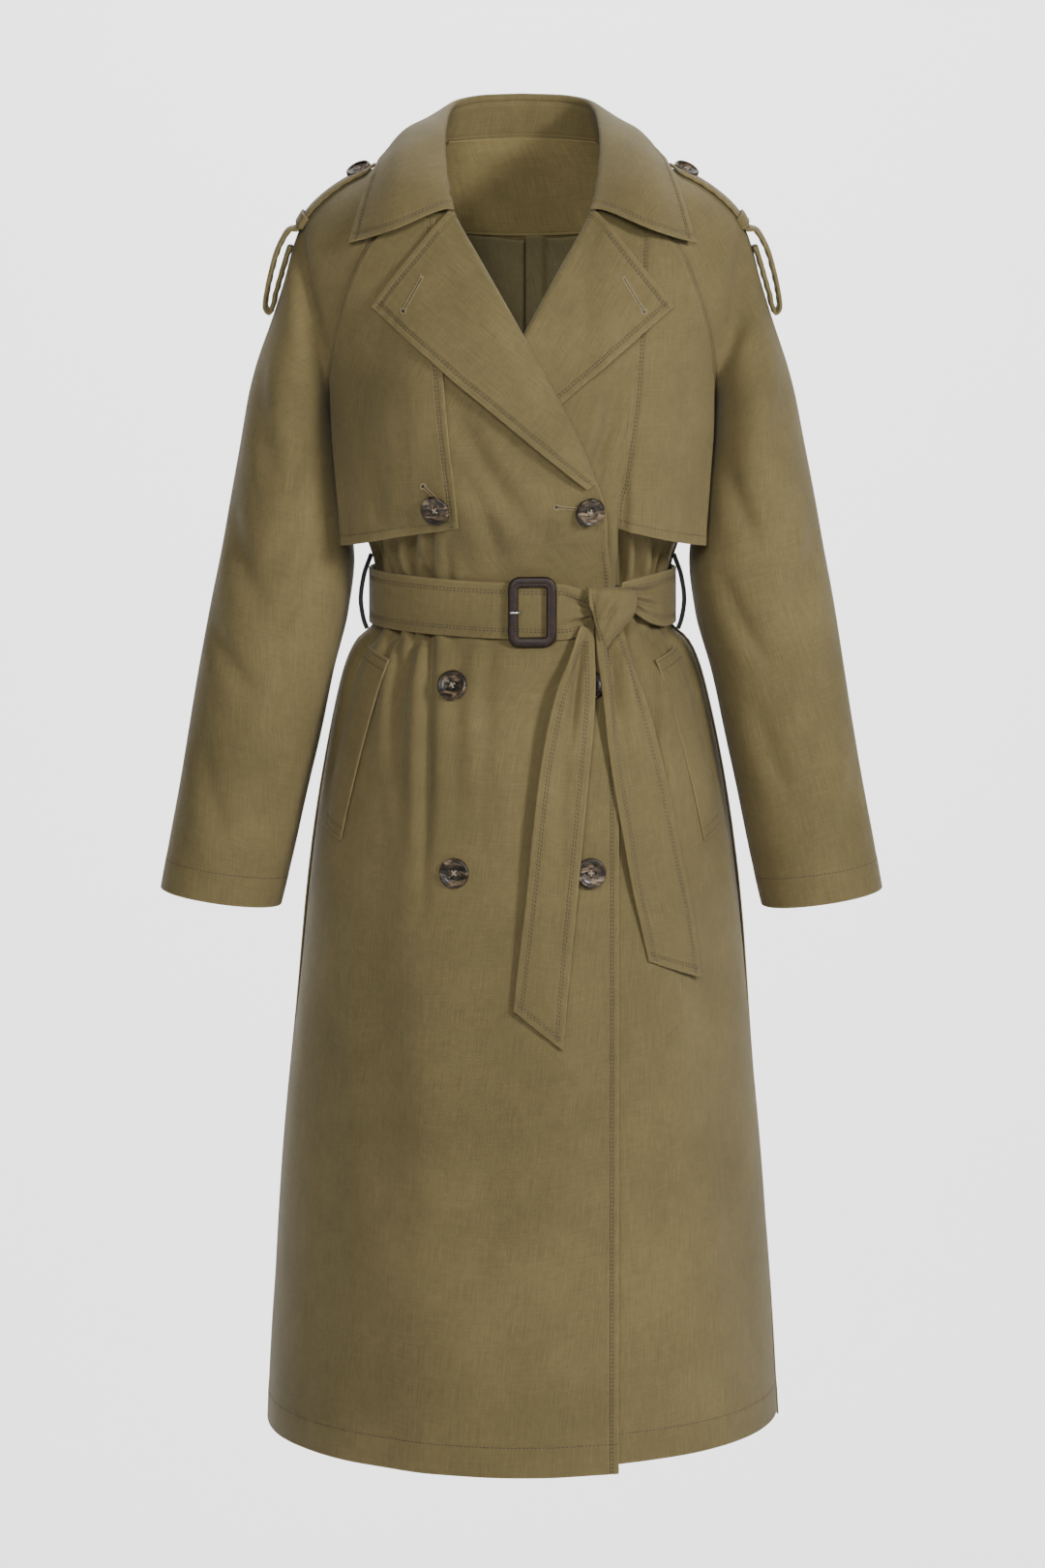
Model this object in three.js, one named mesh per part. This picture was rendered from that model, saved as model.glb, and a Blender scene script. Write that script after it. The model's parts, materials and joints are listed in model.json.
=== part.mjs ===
// A midi raglan trench coat, filled out with no wearer: double breasted, belted, open at neck, cuffs and hem.
// Millimetres. +Z is up, the front faces -Y and +X is the wearer's left, from the centre of the neck opening.
import * as THREE from "three";

const { degToRad, radToDeg, lerp, smoothstep, clamp } = THREE.MathUtils;
const vec = (x, y, z) => new THREE.Vector3(x, y, z);

// Cloth thicknesses, and the gaps between neighbouring pieces
const CLOTH = 1.6;
const COLLAR_CLOTH = 1.8;
const FACING_CLOTH = 1.2;
const LINING_CLOTH = 1.0;
const BELT_CLOTH = 2.6;
const TAIL_CLOTH = 2.4;
const STRAP_CLOTH = 2.2;
const SEAM_GAP = 0.4;
const SLEEVE_SEAM_GAP = 0.5;
const SIDE_SEAM_GAP = 0.45;
const NECK_SEAM_GAP = 0.9;

// How far outer faces stand from the front beneath them
const LAP_CHEST = 10;
const LAP_SKIRT = 4.8;
const FLAP_LIFT = 3.2;
const FLAP_BUTTON_LIFT = LAP_CHEST + FLAP_LIFT + 0.4;
const WELT_LIFT = 2.5;
const BUTTON_LIFT = 0.6;

// Round and formed trims
const BUTTON_RADIUS = 12.7;
const STRAP_BUTTON_RADIUS = 11;
const BUTTON_HEIGHT = 4;
const BUTTON_SIDES = 16;
const ROD_SEGMENTS = 4;
const CORD_RADIUS = 1.25;
const PRONG_RADIUS = 1.2;

// Columns across the wide panels
const FRONT_COLUMNS = 16;
const BACK_COLUMNS = 19;
const SLEEVE_COLUMNS = 15;
const FLAP_COLUMNS = 8;

// Turns a line of column names and rows of numbers into records
function table(names, rows) {
  const keys = names.split(" ");
  return rows.map((row) => Object.fromEntries(keys.map((key, i) => [key, row[i]])));
}

function hermite(t, p0, m0, p1, m1) {
  const t2 = t * t;
  const t3 = t2 * t;
  return (2 * t3 - 3 * t2 + 1) * p0 + (t3 - 2 * t2 + t) * m0 + (3 * t2 - 2 * t3) * p1 + (t3 - t2) * m1;
}

function hermitePoint(t, p0, m0, p1, m1) {
  const along = (axis) => hermite(t, p0[axis], m0[axis], p1[axis], m1[axis]);
  return vec(along("x"), along("y"), along("z"));
}

// Smooth curve through two columns of a table, without overshoot between its rows
function curve(rows, from, to) {
  const sorted = [...rows].sort((a, b) => a[from] - b[from]);
  const x = sorted.map((row) => row[from]);
  const y = sorted.map((row) => row[to]);
  const last = x.length - 1;
  const slope = x.slice(1).map((next, i) => (y[i + 1] - y[i]) / (next - x[i]));
  const tangent = x.map((_, i) => {
    if (i === 0) return slope[0];
    if (i === last) return slope[last - 1];
    if (slope[i - 1] * slope[i] <= 0) return 0;
    const before = x[i] - x[i - 1];
    const after = x[i + 1] - x[i];
    const a = 2 * after + before;
    const b = after + 2 * before;
    return (a + b) / (a / slope[i - 1] + b / slope[i]);
  });
  return (at) => {
    const value = clamp(at, x[0], x[last]);
    let i = 0;
    while (i < last - 1 && value > x[i + 1]) i += 1;
    const span = x[i + 1] - x[i];
    return hermite((value - x[i]) / span, y[i], tangent[i] * span, y[i + 1], tangent[i + 1] * span);
  };
}

// One curve for each column of a table
const curves = (rows, from) =>
  Object.fromEntries(Object.keys(rows[0]).map((key) => [key, curve(rows, from, key)]));

const spread = (count, from = 0, to = 1) =>
  Array.from({ length: count }, (_, i) => lerp(from, to, i / (count - 1)));

// Body sections: half width, and the depths in front of and behind the side line
const SIDE_Y = 8;
const BODY = table("z half front back", [
  [-1106, 222, -186, 178],
  [-1017, 217.5, -181, 173],
  [-879, 207.5, -170, 163],
  [-743, 195, -159, 153],
  [-624, 183, -148, 142],
  [-540, 172, -137, 132],
  [-473, 159, -122, 117],
  [-440, 149.5, -112, 108],
  [-424, 141, -104, 102.5],
  [-411, 126.5, -96.5, 97],
  [-400, 123.5, -94.5, 94.5],
  [-387, 123, -94, 93],
  [-370, 123.5, -95, 94],
  [-357, 126, -98, 96],
  [-320, 139, -116, 103],
  [-291, 147, -127, 109],
  [-235, 160, -133, 117],
  [-197, 170, -131, 120],
  [-156, 182, -122, 118],
  [-104, 186, -103, 108],
  [-60, 178, -81, 92],
  [-20, 125, -58, 75],
  [0, 78, -45, 67],
]);

// The storm flaps leave the body at the bust and hang straight
const BUST_Z = -197;
const FLAP_HANG = [
  ...table("z half front back", [
    [-360, 164, -128, 117],
    [-291, 165.5, -132, 117],
    [-235, 167.5, -133.5, 117],
  ]),
  ...BODY.filter((row) => row.z >= BUST_Z),
];

const body = curves(BODY, "z");
const flapHang = curves(FLAP_HANG, "z");

// Point of a section at a height and an angle: 0 is the centre front, 90 the wearer's left side
function onSection(shape, z, degrees) {
  const angle = degToRad(degrees);
  const forward = Math.cos(angle);
  const depth = forward > 0 ? SIDE_Y - shape.front(z) : shape.back(z) - SIDE_Y;
  return vec(shape.half(z) * Math.sin(angle), SIDE_Y - depth * forward, z);
}

function sectionNormal(shape, z, degrees) {
  const step = 0.5;
  const across = onSection(shape, z, degrees + step).sub(onSection(shape, z, degrees - step));
  const up = onSection(shape, z + step, degrees).sub(onSection(shape, z - step, degrees));
  return across.cross(up).normalize();
}

const sectionPoint = (z, degrees, out = 0, shape = body) =>
  onSection(shape, z, degrees).addScaledVector(sectionNormal(shape, z, degrees), out);
const angleAt = (x, z, shape = body) => radToDeg(Math.asin(clamp(x / shape.half(z), -1, 1)));
const frontPoint = (x, z, out = 0, shape = body) => sectionPoint(z, angleAt(x, z, shape), out, shape);
const backPoint = (x, z, out = 0) => sectionPoint(z, 180 - angleAt(x, z), out);

// Troughs that the belt gathers into the cloth, deepest at the peak and gone at top and bottom
const FOLDS = table("top peak bottom angleTop angleBottom depth width", [
  [-300, -358, -392, -41, -43, 7, 9],
  [-318, -358, -392, -53, -55, 5, 8],
  [-322, -358, -392, -71, -73, 5, 9],
  [-300, -358, -392, 39, 41, 7, 9],
  [-322, -358, -392, 68, 70, 5, 9],
  [-392, -430, -640, -43, -30, 8, 10],
  [-392, -428, -520, -56, -50, 5, 9],
  [-396, -440, -590, -72, -75, 12, 14],
  [-392, -430, -600, 44, 36, 6, 11],
  [-396, -440, -590, 72, 75, 12, 14],
  [-300, -358, -392, 112, 110, 5, 10],
  [-310, -358, -392, 138, 140, 7, 11],
  [-318, -358, -392, 163, 164, 4, 9],
  [-310, -358, -392, 220, 219, 7, 11],
  [-300, -358, -392, 246, 248, 5, 10],
  [-392, -432, -620, 140, 148, 8, 12],
  [-392, -430, -560, 116, 112, 7, 12],
  [-392, -430, -540, 168, 172, 5, 11],
  [-392, -432, -620, 218, 210, 8, 12],
  [-392, -430, -560, 242, 246, 7, 12],
]);

function foldDepth(z, degrees) {
  const mmPerDegree = degToRad(body.half(z));
  return FOLDS.reduce((total, fold) => {
    if (z > fold.top || z < fold.bottom) return total;
    const fall = 1 - smoothstep(-z, -fold.peak, -fold.bottom);
    const rise = z > fold.peak ? smoothstep(-z, -fold.top, -fold.peak) : fall;
    const middle = lerp(fold.angleTop, fold.angleBottom, (fold.top - z) / (fold.top - fold.bottom));
    const distance = ((degrees - middle) * mmPerDegree) / fold.width;
    return total + fold.depth * rise * Math.exp(-distance * distance);
  }, 0);
}

const clothPoint = (z, degrees, out = 0) => sectionPoint(z, degrees, out - foldDepth(z, degrees));

// Front edge and roll line of the right front; the left front mirrors it
const BREAK_Z = -298;
const GORGE_Z = -60;
const frontEdge = curve(
  table("z x", [
    [-1110, 78.5],
    [-600, 78],
    [-420, 76],
    [-374, 73],
    [-330, 68],
    [BREAK_Z, 64],
    [-277, 57],
    [-253, 48],
    [-211, 28],
    [-160, 0],
    [-103, -32],
    [GORGE_Z, -57],
  ]),
  "z",
  "x",
);

// Raglan seams from neck to underarm, one row for each sleeve section that ends on them
const RAGLAN = table("row frontZ frontAngle backZ backAngle", [
  [0, -14, 42, -4, 133.4],
  [1, -40, 35.5, -25, 146],
  [2, -66, 37.3, -50, 143.5],
  [3, -90, 43.3, -78, 138],
  [4, -114, 48.3, -105, 132.5],
  [5, -138, 53, -132, 127.5],
  [6, -163, 58, -160, 122.5],
  [7, -188, 65.5, -187, 115.5],
  [8, -212, 76.5, -212, 105],
  [9, -229, 86.5, -229, 94],
  [10, -235, 90, -235, 90],
]);
const NECK_SEAM = RAGLAN[0];
const UNDERARM_ROW = RAGLAN.length - 1;
const raglan = curves(RAGLAN, "row");
const frontSeamAngle = curve(RAGLAN, "frontZ", "frontAngle");

// Heights of the body's rows below the underarm, and the shorter hem of the left front
const LOWER_ROWS = [
  -268, -300, -328, -350, -364, -378, -392, -402, -412, -424, -440, -460, -490, -530, -580, -640, -715, -800,
  -890, -985, -1106,
];
const LEFT_HEM_Z = -1099;

// Thin wall from the grid of its outer face: rows run down, columns to the wearer's left across the front
function wall(rows, thickness) {
  const down = rows.length;
  const across = rows[0].length;
  const tangent = (before, at, after) => {
    if (!before) return after.clone().sub(at);
    if (!after) return at.clone().sub(before);
    const back = at.clone().sub(before);
    const ahead = after.clone().sub(at);
    return back.divideScalar(back.lengthSq()).add(ahead.divideScalar(ahead.lengthSq()));
  };
  const inner = rows.map((row, i) =>
    row.map((point, j) => {
      const along = tangent(rows[i - 1]?.[j], point, rows[i + 1]?.[j]);
      const side = tangent(row[j - 1], point, row[j + 1]);
      return point.clone().addScaledVector(along.cross(side).normalize(), -thickness);
    }),
  );
  const outside = (i, j) => i * across + j;
  const inside = (i, j) => (down + i) * across + j;
  const faces = [];
  const quad = (a, b, c, d) => faces.push(a, b, c, a, c, d);
  for (let i = 0; i < down - 1; i += 1) {
    for (let j = 0; j < across - 1; j += 1) {
      quad(outside(i, j), outside(i + 1, j), outside(i + 1, j + 1), outside(i, j + 1));
      quad(inside(i, j), inside(i, j + 1), inside(i + 1, j + 1), inside(i + 1, j));
    }
    quad(outside(i, 0), inside(i, 0), inside(i + 1, 0), outside(i + 1, 0));
    const end = across - 1;
    quad(outside(i, end), outside(i + 1, end), inside(i + 1, end), inside(i, end));
  }
  for (let j = 0; j < across - 1; j += 1) {
    quad(outside(0, j), outside(0, j + 1), inside(0, j + 1), inside(0, j));
    quad(outside(down - 1, j), inside(down - 1, j), inside(down - 1, j + 1), outside(down - 1, j + 1));
  }
  const geometry = new THREE.BufferGeometry().setFromPoints([...rows.flat(), ...inner.flat()]);
  geometry.setIndex(faces);
  geometry.computeVertexNormals();
  return geometry;
}

// The same grid on the other side of the body
const mirrored = (rows) => rows.map((row) => row.map((point) => vec(-point.x, point.y, point.z)).reverse());

// Moves one end of each row in along the row, so that the edge keeps its gap to the neighbouring piece
function trimmed(rows, gapOf, atEnd = false) {
  return rows.map((row, i) => {
    const edgeOf = (other) => (atEnd ? other.at(-1) : other[0]);
    const edge = edgeOf(row);
    const inward = (atEnd ? row.at(-2) : row[1]).clone().sub(edge).normalize();
    const run = edgeOf(rows[Math.min(i + 1, rows.length - 1)]).clone().sub(edgeOf(rows[Math.max(i - 1, 0)]));
    const slant = Math.max(inward.clone().cross(run.normalize()).length(), 0.3);
    return row.with(atEnd ? -1 : 0, edge.clone().addScaledVector(inward, gapOf(i) / slant));
  });
}

const bodyGap = (i) => (i <= UNDERARM_ROW ? SLEEVE_SEAM_GAP : SIDE_SEAM_GAP);

// The right front's extra lift where it covers the left front: it grows from the waist to the chest, and it
// starts at the side of the lap and below the collar
const LAP_WAIST = { low: -340, high: -300 };
const LAP_SIDE = { none: -125, full: -75 };
const LAP_TOP = { none: 80, full: 160 };

function lapLift(x, z) {
  const lift = lerp(LAP_SKIRT, LAP_CHEST, smoothstep(z, LAP_WAIST.low, LAP_WAIST.high));
  return lift * smoothstep(x, LAP_SIDE.none, LAP_SIDE.full) * smoothstep(-z, LAP_TOP.none, LAP_TOP.full);
}

// Rows of a front run from the side or raglan seam to the front edge, level at the skirt and sloping down
// towards the centre above the lapel's break
const edgeHeight = (z) =>
  z <= BREAK_Z ? z : lerp(BREAK_Z, GORGE_Z, (z - BREAK_Z) / (NECK_SEAM.frontZ - BREAK_Z));
const FRONT_ROWS = [
  ...RAGLAN.map((seam) => ({ z: seam.frontZ, angle: seam.frontAngle })),
  ...LOWER_ROWS.map((z) => ({ z, angle: 90 })),
];
const BACK_ROWS = [
  ...RAGLAN.map((seam) => ({ z: seam.backZ, angle: seam.backAngle })),
  ...LOWER_ROWS.map((z) => ({ z, angle: 90 })),
];
const ROLL_RADIUS = 4.6;
const ROLL_INSET = 8;
const rollInset = (i) => (edgeHeight(FRONT_ROWS[i].z) > BREAK_Z ? ROLL_INSET : 0);

function frontGrid(side, columns, lift, hem) {
  return FRONT_ROWS.map(({ z, angle }) => {
    const edgeZ = edgeHeight(z);
    const edgeAngle = angleAt(frontEdge(edgeZ), edgeZ);
    const row = columns.map((s) => {
      const height = Math.max(lerp(z, edgeZ, s), hem);
      const degrees = side * lerp(angle, -edgeAngle, s);
      return clothPoint(height, degrees, lift(onSection(body, height, degrees).x, height));
    });
    return side < 0 ? row : row.reverse();
  });
}

function rightFront() {
  const grid = frontGrid(-1, spread(FRONT_COLUMNS), lapLift, LOWER_ROWS.at(-1));
  return wall(trimmed(trimmed(grid, bodyGap), rollInset, true), CLOTH);
}

function leftFront() {
  const grid = frontGrid(1, spread(FRONT_COLUMNS), () => 0, LEFT_HEM_Z);
  return wall(trimmed(trimmed(grid, bodyGap, true), rollInset), CLOTH);
}

function back() {
  const grid = BACK_ROWS.map(({ z, angle }, i) =>
    spread(BACK_COLUMNS).map((s) => {
      const neckRise = i === 0 ? -NECK_SEAM.backZ * Math.sin(Math.PI * s) : 0;
      return clothPoint(z + neckRise, lerp(angle, 360 - angle, s));
    }),
  );
  return wall(trimmed(trimmed(grid, bodyGap), bodyGap, true), CLOTH);
}

// Left sleeve sections from the neck to the cuff. Top is the outer ridge. Down to the underarm row a section
// ends on the raglan seams, leaving them with a pull and a forward turn; below, it closes at the underarm
// line and bulges by the given depths to the front and back.
const SLEEVE = table("row topX topY topZ underX underZ pull turn front back", [
  [0, 74, 8, -5, 160, -235, 47, 0, 77, 73],
  [1, 100, 8, -15, 160, -235, 65, 0, 77, 73],
  [2, 125, 8.5, -25, 160, -235, 85, 0, 77, 73],
  [3, 148, 9, -36, 160, -235, 107, 0, 77, 73],
  [4, 168, 9, -50, 160, -235, 115, 0, 77, 73],
  [5, 183.5, 9, -67, 160, -235, 125, 0.05, 77, 73],
  [6, 193.5, 9, -90, 160, -235, 135, 0.15, 77, 73],
  [7, 201, 9, -118, 160, -235, 150, 0.35, 77, 73],
  [8, 212, 9, -152, 160, -235, 200, 0.65, 77, 73],
  [9, 225.5, 9, -190, 160, -235, 270, 0.9, 77, 73],
  [10, 232.5, 9.5, -215, 160, -235, 300, 1, 77, 73],
  [11, 241, 10, -258, 156, -272, 300, 1, 75, 73],
  [12, 249, 10, -300, 149.5, -314, 300, 1, 70, 70],
  [13, 257, 8, -345, 143.5, -357, 300, 1, 66, 66],
  [14, 266, 4, -391, 148, -399, 300, 1, 62, 62],
  [15, 274.6, 0, -440, 162, -452, 300, 1, 58, 58],
  [16, 283, -5, -490, 173, -503, 300, 1, 55, 55],
  [17, 291.7, -10, -540, 184.5, -553, 300, 1, 52, 52],
  [18, 300.7, -14, -590, 195.5, -604, 300, 1, 49, 49],
  [19, 308, -18, -634, 206, -649, 300, 1, 47, 47],
]);
const sleeve = curves(SLEEVE, "row");

// Point of the left sleeve: round runs from the front seam (0) over the ridge (0.5) to the back seam (1)
function sleevePoint(row, round) {
  const ridge = vec(sleeve.topX(row), sleeve.topY(row), sleeve.topZ(row));
  const side = round < 0.5 ? -1 : 1;
  const t = side < 0 ? round * 2 : 2 - round * 2;
  if (row < UNDERARM_ROW) {
    const z = side < 0 ? raglan.frontZ(row) : raglan.backZ(row);
    const degrees = side < 0 ? raglan.frontAngle(row) : raglan.backAngle(row);
    const seam = onSection(body, z, degrees);
    const normal = sectionNormal(body, z, degrees);
    const chord = ridge.clone().sub(seam);
    const flat = chord.addScaledVector(normal, -chord.dot(normal)).normalize();
    const turn = sleeve.turn(row);
    const leave = flat.multiplyScalar(1 - turn).add(vec(0, side * turn, 0)).setLength(sleeve.pull(row));
    return hermitePoint(t, seam, leave, ridge, vec(0, -side * sleeve.pull(row), 0));
  }
  const depth = 4 * (side < 0 ? sleeve.front(row) : sleeve.back(row));
  const underY = row === UNDERARM_ROW ? SIDE_Y : sleeve.topY(row);
  const under = vec(sleeve.underX(row), underY + (side * SEAM_GAP) / 2, sleeve.underZ(row));
  return hermitePoint(t, under, vec(0, side * depth, 0), ridge, vec(0, -side * depth, 0));
}

const leftSleeveGrid = () =>
  SLEEVE.map(({ row }) => spread(SLEEVE_COLUMNS).map((round) => sleevePoint(row, round)));

// Point of the sleeve's shoulder, a distance behind its ridge, moved out from the cloth
function onShoulder(row, behind, out) {
  let low = 0.25;
  let high = 0.75;
  while (high - low > 1e-6) {
    const middle = (low + high) / 2;
    if (sleevePoint(row, middle).y < sleeve.topY(row) + behind) low = middle;
    else high = middle;
  }
  const step = 0.02;
  const along = sleevePoint(row + step, low).sub(sleevePoint(row - step, low));
  const around = sleevePoint(row, low + step).sub(sleevePoint(row, low - step));
  return sleevePoint(row, low).addScaledVector(along.cross(around).normalize(), out);
}

// Left half of the neck seam, from the centre back (0) over the shoulder (2 to 4) to the gorge (6)
function neckSeam(s) {
  if (s <= 2) {
    const share = 0.5 - s / 4;
    const z = NECK_SEAM.backZ * (1 - Math.sin(Math.PI * share));
    return onSection(body, z, lerp(NECK_SEAM.backAngle, 360 - NECK_SEAM.backAngle, share));
  }
  if (s <= 4) return sleevePoint(0, 2 - s / 2);
  const share = s / 2 - 2;
  const gorgeAngle = -angleAt(frontEdge(GORGE_Z), GORGE_Z);
  const z = lerp(NECK_SEAM.frontZ, GORGE_Z, share);
  return onSection(body, z, lerp(NECK_SEAM.frontAngle, gorgeAngle, share));
}

// Collar sections at the same stations: the roll, a point half way down the leaf, the leaf's edge,
// how far the leaf rises past the roll, and the share of the height that belongs to the stand
const COLLAR = table("s rollX rollY rollZ leafX leafY leafZ edgeX edgeY edgeZ over stand", [
  [0, 0, 63, 35.5, 0, 92, 8, 0, 100, -22, 0.7, 0.78],
  [1, 31, 57, 34.5, 43, 84, 7, 52, 92, -26, 0.7, 0.78],
  [2, 55, 38, 29.5, 80, 63, 8, 92, 68, -19, 0.7, 0.75],
  [3, 62, 8, 18, 95, 11, 9, 116, 12, -14, 1, 0.62],
  [4, 64, -25, 0, 100, -30, -5, 125, -24, -26, 2.5, 0.45],
  [5, 61, -58, -30, 104, -69, -37, 135, -49, -54, 2, 0.45],
  [6, 56.5, -83, -56, 106, -90, -72, 143.5, -68, -84, 0.5, 0.5],
]);
const LEFT_STATIONS = [0.8, 1.5, 2, 2.5, 3, 3.5, 4, 4.7, 5.4, 6];
const COLLAR_STATIONS = [...LEFT_STATIONS.map((s) => -s).reverse(), 0, ...LEFT_STATIONS];
const STAND_END = 5.5;
const LEAF_LINE = [0, 0.12, 0.24, 0.37, 0.49, 0.57, 0.66, 0.75, 0.87, 1];
const ROLL_DEPTH = 7;
const collar = curves(COLLAR, "s");

function collarSection(station) {
  const s = Math.abs(station);
  const across = vec(station < 0 ? -1 : 1, 1, 1);
  const at = (line) => vec(...["X", "Y", "Z"].map((axis) => collar[line + axis](s))).multiply(across);
  return {
    neck: neckSeam(s).multiply(across),
    roll: at("roll"),
    leaf: at("leaf"),
    edge: at("edge"),
    over: collar.over(s),
    stand: collar.stand(s),
  };
}

function collarStand() {
  const sections = COLLAR_STATIONS.map((s) => collarSection(clamp(s, -STAND_END, STAND_END)));
  const rows = [1, 0.5, 0].map((share) =>
    sections.map(({ neck, roll, stand }) => {
      const rise = roll.clone().sub(neck);
      return neck.clone().addScaledVector(rise, lerp(NECK_SEAM_GAP / rise.length(), stand, share));
    }),
  );
  return wall(rows, COLLAR_CLOTH);
}

function collarFall() {
  const lines = COLLAR_STATIONS.map((s) => {
    const { neck, roll, leaf, edge, over, stand } = collarSection(s);
    const rise = roll.clone().sub(neck);
    const start = neck.clone().addScaledVector(rise, stand + SEAM_GAP / rise.length());
    const outward = leaf.clone().sub(roll).setZ(0).setLength(ROLL_DEPTH);
    const top = roll.clone().add(outward).add(vec(0, 0, over));
    return new THREE.CatmullRomCurve3([edge, leaf, top, roll, start]);
  });
  return wall(LEAF_LINE.map((t) => lines.map((line) => line.getPoint(t))), COLLAR_CLOTH);
}

// Lapel of the right front: its top edge runs from gorge to tip, its lower edge from tip to break
const LAPEL_TIP = { x: -122, z: -136.5 };
const LAPEL_BREAK = { x: 60, z: -287 };
const LAPEL_LIFT = ROLL_RADIUS - CLOTH / 2;
const LAPEL_STAND = 3.6;
const LAPEL_STAND_RUN = 12;
const LEFT_LAPEL_STAND = { none: 48, full: 68 };
const ROLL_RETURN = 9;
const LAPEL_ROWS = [0.005, 0.08, 0.16, 0.25, 0.34, 0.43, 0.52, 0.61, 0.7, 0.79, 0.88, 0.965];
const LAPEL_COLUMNS = [0, 0.17, 0.34, 0.5, 0.66, 0.8, 0.92, 1];

function lapelGrid(frontLift, leafLift) {
  return LAPEL_ROWS.map((t) => {
    const rollZ = lerp(GORGE_Z, LAPEL_BREAK.z, t);
    const rollX = frontEdge(rollZ) - ROLL_RADIUS;
    const tipX = lerp(LAPEL_TIP.x, LAPEL_BREAK.x - ROLL_RADIUS, t);
    const tipZ = lerp(LAPEL_TIP.z, LAPEL_BREAK.z, t);
    const leaf = LAPEL_COLUMNS.map((s) => {
      const x = lerp(tipX, rollX, s);
      const z = lerp(tipZ, rollZ, s);
      const stand = leafLift(x) * smoothstep(rollX - x, 0, LAPEL_STAND_RUN);
      return frontPoint(x, z, frontLift(x, z) + LAPEL_LIFT + stand);
    });
    const normal = sectionNormal(body, rollZ, angleAt(rollX, rollZ));
    const below = frontPoint(frontEdge(rollZ - 5), rollZ - 5).sub(frontPoint(frontEdge(rollZ), rollZ));
    const beyond = below.cross(normal).normalize().negate();
    const centre = frontPoint(rollX, rollZ, frontLift(rollX, rollZ) - CLOTH / 2);
    const around = (degrees) =>
      centre
        .clone()
        .addScaledVector(normal, ROLL_RADIUS * Math.cos(degToRad(degrees)))
        .addScaledVector(beyond, ROLL_RADIUS * Math.sin(degToRad(degrees)));
    const turned = around(180).addScaledVector(beyond, -ROLL_RETURN);
    return [...leaf, around(60), around(120), around(180), turned];
  });
}

const rightLapel = () => wall(lapelGrid(lapLift, () => LAPEL_STAND), COLLAR_CLOTH);

function leftLapel() {
  const stand = (x) => LAPEL_STAND * smoothstep(-x, LEFT_LAPEL_STAND.none, LEFT_LAPEL_STAND.full);
  return wall(mirrored(lapelGrid(() => 0, stand)), COLLAR_CLOTH);
}

// Storm flaps: heights down the outer edge, which follows the raglan seam to the bust and then falls free
const FLAP_ROWS = [-66, -90, -114, -138, -163, -188, -204, -220, -240, -262, -286, -312, -338];
const FLAP_SEAM_INSET = 1.5;
const FLAP_FREE = { none: 60, full: 120 };
const flapOuterX = curve(
  table("z x", [
    [-338, 150],
    [-291, 153.5],
    [-235, 157],
    [-197, 158],
  ]),
  "z",
  "x",
);
const FLAPS = {
  right: { side: -1, innerX: [50, 62, 72], innerZ: [-313, -190, -66], lift: lapLift },
  left: { side: 1, innerX: [76, 92, 97], innerZ: [-319, -184, -66], lift: () => 0 },
};

function flap({ side, innerX, innerZ, lift }) {
  const innerEdge = curve(innerZ.map((z, i) => ({ z, x: innerX[i] })), "z", "x");
  const grid = FLAP_ROWS.map((z) => {
    const seamX = onSection(body, z, frontSeamAngle(z)).x - FLAP_SEAM_INSET;
    const outerX = z > BUST_Z ? seamX : flapOuterX(z);
    const edgeZ = lerp(innerZ[2], innerZ[0], (z - FLAP_ROWS[0]) / (FLAP_ROWS.at(-1) - FLAP_ROWS[0]));
    return spread(FLAP_COLUMNS).map((s) => {
      const x = lerp(outerX, innerEdge(edgeZ), s);
      const height = lerp(z, edgeZ, s);
      const near = frontPoint(side * x, height, lift(side * x, height) + FLAP_LIFT);
      const hanging = frontPoint(side * x, height, lift(side * x, height) + FLAP_LIFT, flapHang);
      return near.lerp(hanging, smoothstep(x, FLAP_FREE.none, FLAP_FREE.full));
    });
  });
  return wall(side < 0 ? grid : grid.map((row) => row.reverse()), CLOTH);
}

// Shoulder strap: it lies on the sleeve from its point to the keeper, then hangs in a loop and turns back up
const STRAP_HALF = 18;
const STRAP_LIFT = 0.6 + STRAP_CLOTH;
const STRAP_POINT = 0.36;
const STRAP_ROWS = [1.92, 2.1, 2.5, 3, 3.5, 4, 4.5, 5, 5.3];
const KEEPER_ROW = 5.02;
const STRAP_BUTTON_ROW = 2.52;
const STRAP_LOOP = table("x z drop", [
  [198.5, -74.5, 2],
  [204.5, -83, 1.6],
  [210, -95, 1.2],
  [214.5, -111, 1],
  [218, -127, 0.8],
  [219.6, -141, 0.6],
  [217.6, -146.6, 0.6],
  [213, -147.4, 0.6],
  [210.4, -142, 0.6],
  [207.6, -130, 0.8],
  [203.6, -116, 1],
  [199.5, -102, 1.2],
  [196, -91, 1.6],
]);

function strapGrid() {
  const columns = [-1, 0, 1];
  const lying = STRAP_ROWS.map((row, i) =>
    columns.map((c) => {
      const cut = i < 2 ? STRAP_POINT * Math.abs(c) * (1 - i / 2) : 0;
      return onShoulder(row + cut, c * STRAP_HALF, STRAP_LIFT);
    }),
  );
  const loop = STRAP_LOOP.map(({ x, z, drop }) =>
    columns.map((c) => vec(x - drop * c * c, sleeve.topY(6) + c * STRAP_HALF, z - (drop * c * c) / 2)),
  );
  return [...lying, ...loop];
}

const KEEPER_HALF_WIDTH = 0.2;

function keeperGrid() {
  const section = table("behind out", [
    [-22, 0.7],
    [-21.6, 3.4],
    [-19, 5.2],
    [-9.5, 5.4],
    [0, 5.4],
    [9.5, 5.4],
    [19, 5.2],
    [21.6, 3.4],
    [22, 0.7],
  ]);
  return [-KEEPER_HALF_WIDTH, KEEPER_HALF_WIDTH].map((along) =>
    section.map(({ behind, out }) => onShoulder(KEEPER_ROW + along, behind, out)),
  );
}

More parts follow.
